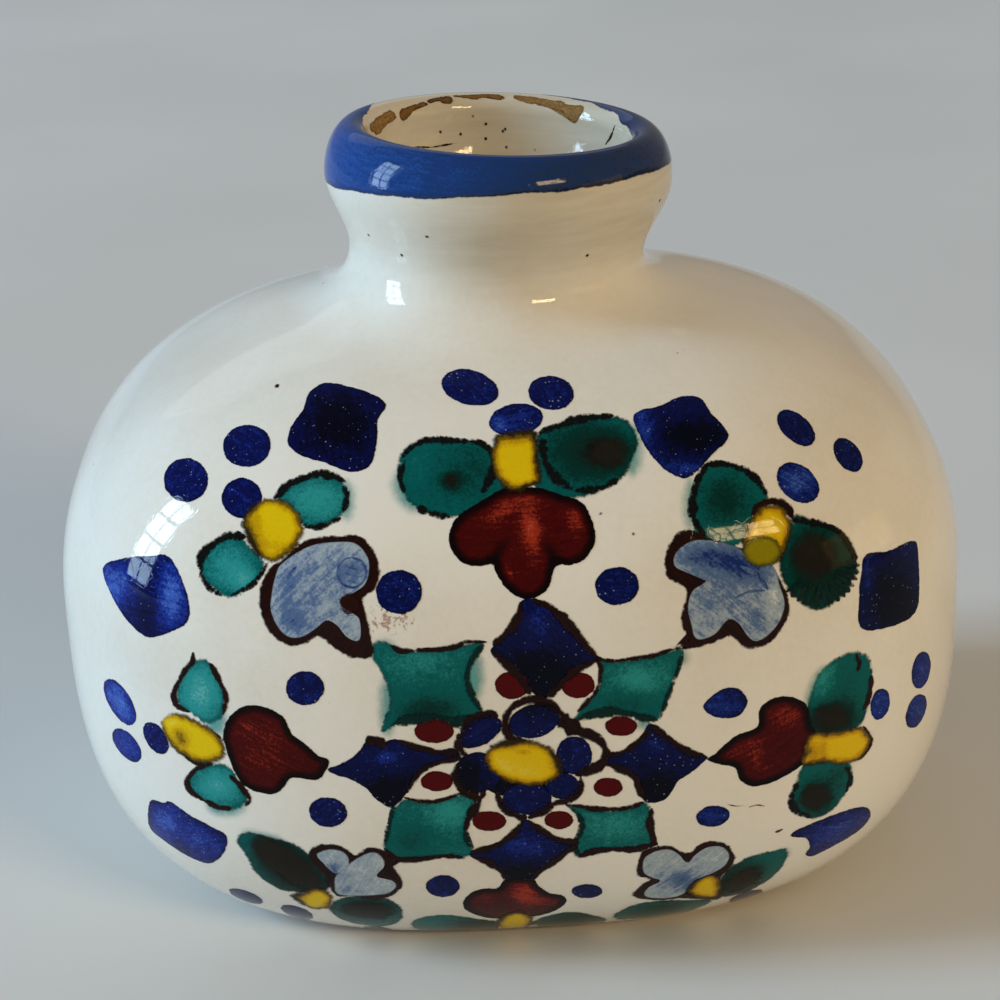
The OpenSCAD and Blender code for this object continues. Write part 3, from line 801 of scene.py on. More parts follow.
# Painted touches, in photo pixels: ovals as (x, y, half width, half height, tilt in degrees), the
# others as outlines of listed points
EYE_OVAL = (524, 762, 39, 22.5, -10)
OLIVE_OVAL = (762, 551, 19, 15, 0)
STAR_BED_OVAL = (522, 773, 47, 25, 0)
PETAL_OVALS = {
    "top": (534, 721, 26, 16.5, 14), "upper_right": (574, 755, 18, 19, 0),
    "lower_right": (563, 786, 17, 13, 0), "bottom": (527, 799, 25, 15.5, 0),
    "lower_left": (478, 772, 23, 20, 0), "upper_left": (480, 732, 24, 13, 28)}
RED_DOT_OVALS = {
    "top_left": (512, 685, 17, 14, 0), "top_right": (578, 685, 17, 13, 0),
    "right_upper": (621, 726, 16, 10, 0), "right_lower": (608, 787, 14.5, 9.5, 0),
    "bottom_right": (559, 820, 14.5, 9, 0), "bottom_left": (489, 821, 17, 10, 0),
    "left_lower": (437, 781, 16.5, 10, 0), "left_upper": (434, 731, 20, 12, 0)}
RING_DOT_OVALS = {
    "top_left": (399, 592, 23, 22, 0), "top_right": (617, 586, 22, 19, 5),
    "left_upper": (305, 688, 19, 17, 0), "left_lower": (328, 812, 19, 15, -8),
    "bottom_left": (443, 886, 17, 11, 0), "bottom_right": (587, 891, 15.5, 7, 0),
    "right_lower": (713, 816, 17, 10.5, 8)}
RING_DOT_OUTLINES = {
    "right_upper": [(703, 707), (712, 696), (726, 688), (739, 689), (747, 700), (743, 712), (730, 718),
        (713, 716)]}
CLUSTER_OVALS = {
    "top_left": (470, 388, 29, 17, -14), "top_right": (551, 393, 23, 17, -8),
    "top": (516, 420, 27, 16, 8), "upper_right": (796, 428, 23, 13, -42),
    "upper_right_far": (848, 455, 19, 12, -55), "upper_right_low": (798, 483, 24, 17, -42),
    "right": (880, 704, 9.5, 16, -12), "right_high": (921, 670, 9, 19, -10),
    "right_far": (916, 711, 9, 18, -20), "left_high": (120, 702, 11, 26, 30),
    "left_far": (127, 745, 10, 20, 38), "left": (156, 738, 10, 18, 32),
    "upper_left": (247, 446, 24, 21, 8), "upper_left_far": (186, 480, 22, 22, 20),
    "upper_left_low": (242, 498, 20, 20, 0), "lower_left": (246, 896, 18, 5, -20),
    "lower_left_low": (297, 912, 17, 5.5, -18), "lower_left_far": (378, 930, 16, 3.5, -6),
    "lower_right": (746, 896, 18, 4, 17)}
DIAMONDS = {
    "top": [(531, 598), (545, 602), (557, 611), (571, 626), (583, 640), (590, 652), (603, 658),
        (589, 662), (572, 672), (558, 687), (547, 697), (539, 697), (530, 690), (520, 674), (505, 662),
        (491, 652), (497, 642), (511, 629), (518, 614), (520, 602)],
    "right": [(650, 723), (660, 731), (672, 741), (686, 750), (707, 756), (699, 766), (686, 776),
        (677, 782), (668, 797), (653, 803), (643, 800), (639, 785), (631, 775), (618, 770), (602, 761),
        (615, 755), (629, 747), (641, 736)],
    "bottom": [(526, 819), (541, 831), (556, 840), (579, 842), (572, 851), (556, 860), (541, 870),
        (532, 878), (507, 879), (499, 869), (489, 862), (474, 859), (470, 852), (486, 846), (501, 840),
        (512, 834), (519, 826)],
    "left": [(328, 769), (345, 762), (358, 752), (371, 737), (381, 743), (395, 739), (410, 746),
        (435, 751), (452, 748), (462, 756), (440, 761), (424, 768), (415, 777), (408, 790), (398, 804),
        (389, 807), (377, 800), (366, 788), (350, 779), (337, 775)]}
TILES = {
    "upper_left": [(378, 641), (401, 648), (423, 650), (454, 647), (482, 642), (472, 657), (467, 672),
        (468, 687), (476, 700), (482, 712), (458, 722), (433, 719), (406, 721), (383, 731), (386, 716),
        (390, 702), (388, 686), (380, 668), (372, 655)],
    "upper_right": [(596, 658), (614, 661), (636, 659), (656, 655), (682, 649), (680, 662), (675, 677),
        (668, 696), (658, 720), (641, 717), (624, 714), (605, 714), (586, 717), (573, 721), (586, 703),
        (596, 692), (600, 680), (600, 668)],
    "lower_left": [(404, 800), (420, 802), (437, 801), (456, 796), (478, 791), (470, 811), (465, 825),
        (467, 840), (474, 852), (462, 858), (444, 857), (420, 859), (399, 859), (384, 849), (389, 825),
        (392, 811)],
    "lower_right": [(566, 805), (581, 807), (595, 810), (617, 810), (631, 808), (648, 803), (651, 825),
        (655, 844), (636, 849), (617, 850), (595, 851), (578, 857), (573, 846), (578, 837), (582, 825),
        (577, 814)]}
RED_FLOWERS = {
    "top": [(500, 490), (478, 503), (462, 513), (453, 523), (449, 537), (453, 553), (465, 564),
        (480, 566), (492, 564), (496, 572), (505, 587), (520, 598), (535, 598), (549, 587), (556, 566),
        (572, 565), (586, 558), (594, 544), (595, 532), (588, 511), (578, 500), (562, 495), (540, 488),
        (518, 487)],
    "right": [(707, 759), (716, 753), (735, 736), (757, 727), (759, 710), (768, 701), (784, 696),
        (800, 700), (808, 708), (811, 725), (818, 733), (812, 750), (803, 764), (785, 776), (767, 784),
        (752, 786), (740, 780), (735, 768), (722, 765)],
    "bottom": [(463, 906), (466, 897), (477, 890), (490, 888), (498, 888), (506, 879), (531, 878),
        (539, 886), (550, 893), (562, 895), (567, 901), (558, 909), (541, 915), (515, 918), (490, 918),
        (472, 913)],
    "left": [(228, 719), (238, 709), (253, 705), (270, 709), (284, 718), (292, 734), (304, 743),
        (318, 755), (329, 760), (324, 774), (316, 780), (292, 778), (284, 787), (274, 794), (258, 792),
        (244, 785), (234, 770), (226, 748), (223, 734)]}
PALE_FLOWER_BEDS = {
    "upper_right": [(690, 530), (676, 536), (667, 551), (665, 568), (670, 579), (685, 587), (687, 596),
        (682, 612), (684, 630), (690, 640), (674, 647), (692, 648), (710, 644), (731, 636), (741, 645),
        (752, 648), (768, 643), (781, 630), (789, 612), (787, 595), (779, 578), (765, 560), (742, 548),
        (715, 541)],
    "upper_left": [(281, 561), (299, 545), (315, 538), (340, 536), (356, 535), (367, 542), (376, 556),
        (379, 572), (375, 588), (362, 599), (367, 617), (371, 640), (372, 657), (352, 657), (338, 650),
        (319, 636), (305, 643), (290, 645), (275, 637), (264, 622), (260, 602), (262, 583), (270, 568)],
    "lower_left": [(309, 853), (315, 847), (328, 844), (343, 847), (355, 855), (368, 848), (383, 850),
        (400, 859), (394, 867), (401, 878), (402, 887), (390, 896), (375, 899), (352, 896), (336, 895),
        (324, 875), (312, 862)],
    "lower_right": [(637, 874), (639, 861), (643, 850), (655, 847), (671, 846), (688, 853), (700, 844),
        (714, 841), (728, 846), (735, 857), (728, 870), (720, 879), (720, 898), (700, 899), (680, 898),
        (664, 900), (646, 899), (632, 895), (644, 883), (650, 879)]}
PALE_FLOWERS = {
    "upper_right": [(700, 542), (684, 548), (676, 558), (678, 568), (692, 573), (708, 571), (712, 577),
        (706, 584), (695, 591), (690, 606), (693, 622), (698, 637), (715, 632), (728, 617), (738, 621),
        (747, 634), (756, 639), (768, 632), (779, 617), (782, 602), (777, 585), (772, 568), (752, 559),
        (730, 547)],
    "upper_left": [(283, 566), (298, 555), (315, 547), (340, 544), (355, 546), (365, 557), (367, 570),
        (363, 584), (354, 591), (345, 596), (341, 603), (346, 612), (357, 617), (358, 638), (346, 635),
        (336, 623), (326, 618), (316, 626), (304, 634), (291, 635), (280, 626), (273, 608), (275, 589),
        (279, 573)],
    "lower_left_first": [(319, 855), (332, 851), (343, 854), (347, 862), (343, 868), (336, 872),
        (327, 864)],
    "lower_left_second": [(339, 875), (355, 862), (372, 854), (381, 859), (382, 867), (374, 876),
        (390, 880), (394, 886), (385, 892), (365, 894), (340, 893), (337, 883)],
    "lower_right": [(646, 872), (646, 860), (655, 853), (670, 851), (680, 857), (687, 865), (694, 857),
        (706, 849), (720, 848), (727, 856), (722, 866), (707, 874), (692, 880), (682, 893), (664, 897),
        (647, 895), (650, 887), (663, 880), (655, 877)]}
CALYXES = {
    "top": [(495, 437), (508, 433), (524, 430), (536, 433), (538, 458), (541, 480), (530, 488),
        (517, 493), (503, 485), (493, 468), (492, 450)],
    "upper_right": [(757, 511), (770, 505), (783, 509), (790, 522), (788, 542), (779, 560), (763, 566),
        (749, 559), (742, 547), (747, 528)],
    "right": [(802, 764), (809, 735), (835, 732), (858, 727), (868, 733), (870, 743), (860, 758),
        (843, 764), (822, 763)],
    "lower_right": [(686, 891), (695, 881), (708, 875), (718, 877), (721, 887), (716, 896), (700, 897)],
    "bottom": [(497, 921), (507, 914), (520, 912), (533, 918), (524, 929), (510, 930), (499, 929)],
    "lower_left": [(291, 895), (303, 892), (316, 888), (328, 892), (333, 900), (326, 908), (312, 908),
        (299, 902)],
    "left": [(163, 721), (171, 714), (186, 716), (202, 724), (217, 734), (225, 748), (222, 758),
        (206, 763), (188, 758), (173, 747), (164, 734)],
    "upper_left": [(243, 528), (248, 511), (262, 500), (280, 500), (296, 510), (303, 528), (297, 546),
        (282, 558), (268, 561), (252, 550)]}
LEAVES = {
    "top_left": [(399, 461), (412, 444), (440, 440), (478, 442), (498, 456), (507, 490), (482, 509),
        (448, 517), (418, 508), (401, 488)],
    "top_right": [(539, 433), (565, 423), (600, 416), (625, 420), (637, 440), (630, 464), (616, 483),
        (580, 497), (540, 496), (533, 464)],
    "upper_right_high": [(707, 463), (730, 464), (752, 473), (768, 497), (757, 513), (748, 536),
        (726, 550), (702, 544), (693, 522), (692, 500), (698, 478)],
    "upper_right_low": [(792, 518), (802, 516), (820, 523), (838, 530), (852, 550), (856, 566),
        (848, 589), (835, 601), (828, 607), (813, 609), (798, 600), (785, 584), (780, 565), (785, 540)],
    "right_high": [(840, 657), (857, 652), (870, 661), (870, 690), (862, 722), (838, 737), (813, 735),
        (807, 712), (813, 688), (824, 669)],
    "right_low": [(805, 763), (830, 757), (848, 761), (852, 779), (843, 797), (829, 812), (812, 818),
        (797, 811), (791, 801), (797, 782)],
    "lower_right_high": [(720, 896), (720, 880), (730, 868), (750, 857), (772, 851), (787, 850),
        (783, 865), (768, 880), (745, 892)],
    "lower_right_low": [(614, 917), (628, 907), (655, 901), (690, 900), (712, 900), (695, 909),
        (665, 917), (635, 919)],
    "bottom_right": [(527, 928), (536, 920), (555, 914), (573, 912), (592, 915), (607, 920), (585, 924),
        (555, 928)],
    "bottom_left": [(411, 924), (424, 917), (448, 915), (478, 919), (498, 922), (496, 929), (470, 933),
        (432, 932)],
    "lower_left_low": [(330, 909), (338, 899), (360, 896), (385, 898), (400, 907), (401, 919),
        (385, 926), (358, 924), (340, 918)],
    "lower_left_high": [(237, 841), (245, 832), (268, 837), (296, 845), (318, 862), (334, 878),
        (326, 889), (305, 892), (280, 889), (258, 875), (246, 855)],
    "left_low": [(213, 764), (227, 766), (238, 780), (247, 796), (242, 806), (222, 810), (204, 801),
        (189, 788), (189, 776), (199, 766)],
    "left_high": [(190, 664), (206, 660), (217, 675), (224, 693), (223, 714), (208, 723), (192, 713),
        (178, 702), (178, 684)],
    "upper_left_low": [(200, 570), (204, 554), (218, 540), (235, 535), (248, 545), (264, 563),
        (253, 583), (231, 597), (210, 585)],
    "upper_left_high": [(276, 500), (292, 484), (315, 476), (338, 479), (348, 493), (343, 513),
        (322, 526), (304, 526), (292, 511)]}
DABS = {
    "top_right": [(634, 415), (660, 406), (680, 397), (700, 398), (711, 413), (724, 427), (728, 439),
        (712, 455), (697, 471), (682, 478), (662, 467), (645, 446)],
    "right_upper": [(866, 555), (888, 551), (908, 542), (917, 545), (919, 580), (917, 608), (903, 622),
        (875, 630), (860, 626), (859, 600), (861, 575)],
    "right_lower": [(790, 836), (797, 830), (820, 820), (847, 810), (862, 807), (868, 808), (870, 817),
        (858, 831), (835, 845), (812, 856), (805, 853), (810, 847), (806, 838)],
    "left_lower": [(151, 800), (164, 803), (171, 802), (190, 815), (212, 827), (226, 835), (226, 848),
        (217, 860), (206, 863), (188, 856), (165, 841), (151, 829), (148, 816)],
    "left_upper": [(103, 569), (120, 559), (148, 556), (168, 556), (180, 575), (189, 603), (187, 622),
        (172, 631), (148, 637), (130, 623), (114, 600)],
    "top_left": [(325, 383), (347, 386), (372, 394), (386, 405), (378, 420), (377, 440), (371, 464),
        (352, 472), (325, 463), (300, 455), (288, 443), (291, 427), (303, 410), (309, 393)]}

# Thick and thin pools of pigment: (x, y, half width, half height, tilt, change of load)
COBALT_POOLS = [
    (540, 682, 34, 28, 0, 0.45), (538, 622, 14, 22, 0, -0.2), (655, 792, 24, 18, 0, 0.4),
    (655, 745, 14, 8, 0, -0.2), (520, 872, 24, 8, 0, 0.35), (525, 845, 26, 12, 0, -0.25),
    (393, 795, 24, 18, 0, 0.45), (385, 757, 20, 10, 0, -0.2), (468, 776, 16, 20, 0, 0.4),
    (692, 436, 36, 18, 0, 0.4), (645, 428, 12, 26, 20, -0.25), (685, 468, 24, 7, 0, -0.2),
    (340, 425, 42, 34, 0, 0.35), (893, 600, 26, 34, 0, 0.4), (868, 575, 5, 22, 0, -0.2),
    (165, 820, 14, 16, 0, -0.32), (200, 840, 28, 14, -28, -0.25), (120, 702, 12, 26, 30, -0.4),
    (172, 595, 14, 32, 0, -0.4), (114, 585, 16, 22, 0, -0.4), (148, 614, 9, 20, 0, 0.15),
    (127, 745, 14, 22, 38, -0.2), (921, 670, 12, 22, 0, -0.17), (916, 711, 12, 22, 0, -0.17),
    (880, 704, 12, 20, 0, -0.2), (720, 703, 20, 18, 0, -0.15), (713, 816, 20, 14, 0, -0.12),
    (246, 896, 24, 10, 0, 0.05), (297, 912, 24, 10, 0, 0.05), (796, 481, 20, 16, 0, -0.3),
    (835, 830, 40, 12, 28, -0.24), (516, 424, 26, 12, 0, -0.1), (498, 424, 8, 8, 0, -0.25)]
TEAL_POOLS = [
    (430, 712, 34, 18, 0, 0.3), (420, 660, 30, 16, 0, -0.1), (625, 705, 30, 12, 0, 0.15),
    (640, 680, 24, 14, 0, -0.18), (412, 840, 20, 14, 0, 0.15), (450, 812, 22, 16, 0, -0.18),
    (615, 825, 34, 14, 0, -0.12), (452, 481, 9, 8, 0, 0.4), (420, 470, 14, 20, 0, -0.12),
    (608, 453, 22, 18, 0, 0.3), (585, 452, 44, 34, 0, 0.32), (820, 565, 44, 50, 0, 0.36),
    (725, 500, 26, 26, 0, 0.25), (832, 717, 24, 16, 0, 0.48), (846, 690, 16, 24, 0, 0.08),
    (822, 676, 14, 28, -15, -0.2), (817, 797, 16, 16, 0, 0.45), (838, 775, 12, 12, 0, 0.15),
    (740, 880, 24, 14, 25, 0.5), (660, 908, 40, 8, 8, 0.2), (570, 920, 36, 7, 5, 0.3),
    (480, 926, 26, 8, 0, 0.35), (430, 924, 16, 8, 0, -0.05), (368, 909, 26, 10, 0, 0.55),
    (290, 868, 38, 20, -35, 0.6), (200, 692, 22, 28, 0, -0.34), (218, 786, 24, 18, 0, -0.3),
    (229, 566, 24, 24, 0, -0.2), (246, 582, 14, 12, -30, -0.22), (318, 500, 32, 22, 0, -0.24),
    (475, 470, 30, 40, 0, 0.15), (425, 478, 26, 30, 0, 0.1)]
OXBLOOD_POOLS = [
    (531, 530, 10, 26, 8, -0.32), (500, 512, 18, 8, 35, -0.2), (577, 520, 10, 16, -20, -0.18),
    (508, 572, 6, 12, 0, -0.15), (527, 500, 18, 8, 0, -0.1), (496, 557, 5, 16, -30, 0.4),
    (553, 557, 5, 16, 30, 0.4), (787, 716, 18, 12, 0, -0.16), (745, 748, 22, 6, 25, -0.14),
    (758, 760, 8, 12, 0, -0.15), (524, 893, 14, 10, 0, -0.26), (540, 902, 18, 5, 0, -0.14),
    (485, 898, 12, 6, 0, -0.1), (266, 745, 24, 30, 0, -0.1), (248, 728, 10, 6, 0, -0.1)]
PALE_POOLS = [
    (352, 572, 15, 16, 0, 0.25), (296, 622, 16, 12, 0, 0.3), (288, 590, 10, 26, 0, 0.2),
    (318, 585, 50, 50, 0, 0.17), (745, 566, 26, 14, -15, 0.5), (705, 556, 28, 14, 0, 0.45),
    (725, 590, 50, 45, 0, 0.22), (757, 622, 12, 14, 0, 0.15), (772, 600, 8, 14, 0, -0.2),
    (684, 880, 16, 10, 0, 0.4), (665, 862, 12, 8, 0, -0.05), (712, 858, 10, 8, 0, -0.05),
    (360, 875, 44, 26, 0, -0.05), (335, 868, 6, 6, 0, 0.4), (345, 876, 6, 5, 0, 0.3),
    (346, 889, 8, 4, 0, 0.25)]
YELLOW_POOLS = [
    (520, 438, 22, 6, 8, 0.4), (525, 488, 18, 5, 0, 0.3), (536, 470, 4, 20, 0, 0.2),
    (762, 552, 18, 12, 0, 0.3), (812, 752, 8, 10, 0, 0.35), (824, 748, 4, 14, 0, 0.2),
    (298, 899, 8, 6, 0, 0.35), (502, 918, 7, 5, 0, 0.15), (252, 542, 12, 14, 0, 0.4),
    (254, 520, 8, 14, 0, 0.25), (181, 738, 7, 12, 30, 0.45), (168, 719, 9, 7, 0, -0.4),
    (692, 887, 8, 4, 30, 0.3), (510, 744, 14, 5, 12, 0.45), (557, 758, 7, 13, 0, 0.45),
    (524, 752, 7, 2.5, 0, 0.25), (500, 764, 14, 10, 0, -0.1), (524, 772, 24, 8, 0, -0.1),
    (276, 546, 18, 6, 0, 0.15)]

# Brush lines as (width, route): firm ones by what they edge, pencil marks, hairy edges of the teal
# and scribbles on the pale flowers
STAR_LINES = [
    (8, [(526, 741), (511, 738), (505, 727), (507, 715), (514, 706), (524, 701), (536, 699), (550, 704),
        (561, 714), (567, 724)]), (7, [(485, 790), (479, 802), (470, 816), (466, 830)]),
    (9, [(570, 730), (586, 733), (599, 740), (606, 751), (602, 763), (588, 771), (575, 775)]),
    (16, [(560, 718), (569, 725), (580, 733)]), (9, [(496, 793), (504, 806), (516, 815), (527, 818)]),
    (7, [(528, 818), (545, 810), (556, 803), (571, 799), (580, 789), (581, 776)]),
    (9, [(460, 738), (468, 724), (484, 714), (498, 717)]), (7, [(459, 733), (458, 746), (467, 757)]),
    (8, [(459, 762), (456, 777), (464, 792), (480, 797)]),
    (8, [(521, 602), (518, 617), (508, 632), (493, 646)]),
    (9, [(533, 600), (552, 609), (570, 626), (582, 641), (596, 656)]),
    (8, [(492, 652), (506, 664), (520, 677), (531, 694)]),
    (7, [(598, 659), (572, 673), (557, 689), (545, 698)]),
    (6, [(651, 724), (672, 741), (688, 751), (708, 757)]),
    (5, [(652, 728), (640, 740), (626, 750), (604, 757)]),
    (7, [(604, 763), (620, 769), (634, 777), (643, 798)]),
    (6, [(528, 820), (545, 833), (560, 840), (580, 843)]),
    (6, [(524, 820), (512, 835), (494, 846), (472, 852)]),
    (5, [(463, 758), (440, 762), (424, 769), (414, 780), (407, 793)]),
    (6, [(397, 740), (415, 747), (440, 752), (460, 752)]), (9, [(366, 744), (374, 739), (386, 747)]),
    (6, [(578, 844), (556, 860), (541, 870), (531, 880)]),
    (6, [(470, 855), (488, 862), (500, 870), (508, 880)])]
TILE_LINES = [
    (4.5, [(390, 645), (401, 651), (420, 650), (444, 649), (456, 646), (468, 642), (487, 642)]),
    (4, [(596, 655), (601, 669), (599, 683), (595, 693), (586, 703), (577, 712)]),
    (4, [(595, 658), (614, 661), (636, 658), (655, 655), (674, 649), (688, 648)]),
    (3.5, [(403, 797), (420, 801), (437, 801), (456, 795), (473, 789), (479, 794)]),
    (5, [(384, 848), (399, 859), (420, 859), (444, 856), (463, 857)]),
    (4.5, [(566, 805), (581, 806), (595, 809), (617, 809), (631, 807), (644, 802)]),
    (7, [(652, 808), (650, 825), (654, 842), (658, 844)]),
    (6, [(578, 857), (595, 851), (617, 849), (636, 849), (656, 843)])]
LEAF_LINES = [
    (8, [(751, 516), (762, 505), (775, 501), (786, 507), (793, 519)]),
    (5, [(209, 662), (217, 675), (224, 690), (226, 700), (223, 715)]),
    (5, [(193, 652), (192, 662), (184, 672), (175, 690), (174, 699), (179, 707), (190, 712)]),
    (4, [(170, 738), (178, 728), (187, 722), (193, 724)]),
    (4, [(172, 742), (180, 750), (188, 758), (200, 763), (213, 761)]),
    (3, [(197, 725), (210, 731), (221, 738)]),
    (5, [(213, 763), (200, 767), (191, 774), (187, 781), (190, 790), (197, 796), (205, 801)]),
    (5, [(229, 775), (238, 783), (247, 794), (250, 800), (244, 806)]),
    (5, [(205, 800), (218, 807), (232, 808)]), (5, [(872, 675), (868, 700), (862, 710)]),
    (4.5, [(863, 726), (869, 735), (870, 742), (865, 752), (857, 760)]),
    (4, [(835, 733), (822, 742), (820, 750), (824, 760)]), (4, [(690, 886), (697, 883), (705, 880)]),
    (4, [(856, 654), (859, 663), (857, 672)])]
PENCIL_LINES = [
    (0.9, [(727, 804), (736, 806), (744, 805)]), (1.0, [(749, 807), (757, 805), (765, 806)]),
    (1.8, [(775, 832), (779, 831), (783, 829)])]
TILE_HAIRS = [
    (6, [(484, 644), (474, 657), (468, 672), (468, 686), (475, 700), (482, 712)]),
    (9, [(391, 726), (406, 720), (437, 718), (458, 722), (476, 716)]),
    (4, [(683, 651), (676, 676), (669, 694), (660, 719)]),
    (8, [(573, 721), (590, 715), (606, 712), (624, 713), (641, 717), (658, 720)]),
    (5, [(479, 795), (470, 811), (466, 825), (467, 839), (474, 851)]),
    (4, [(394, 805), (389, 825), (385, 845)]),
    (5, [(569, 807), (578, 815), (582, 825), (578, 837), (574, 844), (580, 856)])]
LEAF_HAIRS = [
    (5, [(405, 460), (400, 476), (404, 493)]),
    (7, [(273, 500), (290, 484), (310, 476), (330, 475), (346, 482)]),
    (5, [(342, 485), (347, 495), (343, 512)]), (5, [(341, 518), (318, 527), (302, 525)]),
    (7.5, [(201, 574), (202, 556), (214, 544), (228, 536), (246, 537)]),
    (4.5, [(268, 562), (255, 582), (231, 596)]), (5, [(200, 573), (208, 586), (222, 596)]),
    (6, [(402, 458), (413, 446), (430, 440), (455, 441), (480, 443), (494, 453)]),
    (8, [(490, 449), (494, 462), (490, 478), (482, 493)]), (6, [(416, 507), (430, 513), (450, 517)]),
    (7.5, [(539, 434), (552, 428), (580, 419), (614, 416)]),
    (7.5, [(542, 437), (545, 460), (556, 478), (574, 490)]), (6, [(574, 491), (600, 488), (618, 479)]),
    (7, [(707, 464), (697, 482), (693, 500), (694, 520), (706, 537)]),
    (6, [(706, 464), (730, 465), (752, 475), (768, 498)]),
    (6, [(790, 520), (820, 524), (840, 533), (853, 553), (856, 568)]),
    (6, [(798, 782), (791, 799), (797, 811), (812, 817)]), (5, [(845, 766), (851, 778), (846, 792)])]
PALE_SCRIBBLES = [
    (2, [(350, 557), (362, 562), (366, 576), (356, 587), (343, 584), (338, 571), (344, 560),
        (354, 557)]), (1.5, [(346, 566), (358, 570)]), (1.5, [(344, 573), (359, 577)]),
    (1.5, [(347, 580), (356, 583)]), (2, [(297, 566), (290, 574), (287, 586)]),
    (3, [(740, 566), (757, 575), (768, 590)]), (2, [(735, 598), (748, 592), (765, 590)])]

# Short strokes that fan out over the dark leaf: middle and reach in pixels, bearings in degrees
RAY_CENTRE = (818, 565)
RAY_REACH = (18, 42)
RAY_BEARINGS = (0, 140)
RAY_COUNT = 15
RAY_W = 5.0

# Ovals: burnt cores of the leaves, stray spots, teal that bled into the glaze and a rubbed smudge
LEAF_CORES = [
    (288, 864, 42, 14, -35), (368, 910, 24, 8, -3), (742, 880, 20, 8, 28), (814, 797, 14, 12, 20),
    (832, 718, 18, 12, 0), (814, 556, 21, 22, 0), (608, 453, 18, 14, 0), (452, 481, 5, 4, 0)]
DARK_SPOTS = [
    (350, 604, 10, 10), (277, 386, 1.2, 1.2), (633, 534, 0.8, 0.8), (600, 514, 0.7, 0.7)]
HALO_OVALS = [
    (472, 676, 12, 26, 0), (388, 706, 9, 30, 0), (384, 652, 13, 12, 0), (679, 657, 9, 9, 0),
    (643, 724, 7, 5, 0), (412, 490, 18, 24, 30), (632, 450, 10, 26, 0), (690, 505, 6, 26, 0),
    (346, 500, 8, 20, 0), (216, 722, 11, 14, 0), (226, 806, 20, 10, 0), (265, 838, 24, 5, -14),
    (818, 690, 10, 24, -18), (433, 930, 24, 6, 0), (640, 914, 28, 7, 8), (782, 854, 8, 5, 20)]
SMUDGE_OVAL = (388, 619, 24, 14, 0)

# Chips with their darkness, specks, and a crack and a dark line with their width on the lip: bearing
# in degrees and length along the collar's outline
CHIPS = [
    (0.25, [(168, 17.6), (155, 17.3), (148, 17.1), (143, 17.1), (142, 18.0), (152, 18.6), (157, 19.1),
        (168, 18.2)]),
    (0.5, [(138, 17.3), (130, 17.0), (123, 16.8), (122, 17.2), (129, 17.4), (133, 18.1), (136, 18.5),
        (139, 18.0)]),
    (0.6, [(121, 16.6), (115, 16.3), (110, 16.3), (109, 17.1), (112, 17.2), (116, 16.8), (120, 17.0)]),
    (0.5, [(108, 16.2), (97, 16.1), (88, 16.1), (86, 16.8), (91, 16.8), (94, 16.5), (98, 16.8),
        (105, 16.5)]),
    (0.3, [(82, 16.2), (74, 16.2), (66, 16.4), (60, 16.4), (57, 16.8), (49, 16.6), (48, 17.5),
        (51, 18.7), (55, 18.2), (58, 17.6), (63, 17.5), (70, 17.2), (78, 17.0)])]
LIP_SPECK_R = 0.16
LIP_SPECKS = [
    (116, 20.3), (106, 20.7), (100, 18.7), (94, 19.6), (94, 21.3), (86, 20.4), (85, 20.2), (84, 22.2),
    (70, 22.3), (216, 3.7), (244, 5.4), (302, 2.9), (231, 2.2), (334, 7.8)]
# A crack on the lip, then a thin dark mark inside the mouth
LIP_CRACK_AND_LINE = [
    (0.3, [(24, 17.7), (26, 18.9), (30, 20.2)]), (0.16, [(132, 21.6), (121, 21.9), (108, 21.7)])]


def strokes(shape, lines, load, lift, **how):
    """Adds a table of (width, route) as brush lines of one load."""
    for width, route in lines:
        stroke(shape, route, width, load, lift, **how)


def touches(shape, outlines, load, lift, **how):
    """Adds outlines as brush touches of one load."""
    for outline in outlines:
        touch(shape, outline, load, lift, **how)


def ovals(places):
    """Outlines of ovals."""
    return [oval(*place) for place in places]


def painted(name, outlines, *nodes, load, lift, finish, slot, **how):
    """One painted piece: every outline of a group as a touch of the same pigment."""
    shape = Shape()
    touches(shape, outlines, load, lift, **how)
    return shape.piece(name, finish, slot, *nodes)


# Columns round the vase, and rings on the lower curve, shoulder, saddle and flare of each wall
ROUND = np.linspace(0, 2 * math.pi, 320, endpoint=False)
HALF_ROUND = np.linspace(0, math.pi, 120)
COAT_ROWS = (60, 40, 16, 24)
CLAY_ROWS = (40, 14, 6, 10)
BACK_ROWS = (14, 10, 4, 8)
NECK_BACK_SKIP = 4


def body_coat():
    """Glaze over the body: its outer wall up to the joint, closed by a wall a coat's depth behind."""
    outer = wall(ROUND, 0.0, BARE_FOOT_H, COAT_ROWS)
    back = wall(ROUND, COAT_BACK, BARE_FOOT_H, BACK_ROWS)[::-1]
    rows = np.concatenate([outer, back])
    shape = Shape()
    shape.add(rows, [grid_faces(len(rows), len(ROUND), True, True)])
    return shape.piece("body_glaze_coat", CREAM_GLAZE, "white_glaze", "body_glaze")


def neck_coat():
    """Glaze over the collar: its outline turned round the neck, closed by the same line moved in."""
    columns = ROUND[::2]
    front = on_collar(columns, COLLAR_ARC[:, None], 0.0)
    back = on_collar(columns, COLLAR_ARC[::-NECK_BACK_SKIP, None], -COAT_BACK)
    rows = np.concatenate([front, back])
    shape = Shape()
    shape.add(rows, [grid_faces(len(rows), len(columns), True, True)])
    return shape.piece("neck_glaze_coat", CREAM_GLAZE, "white_glaze", "neck_glaze")


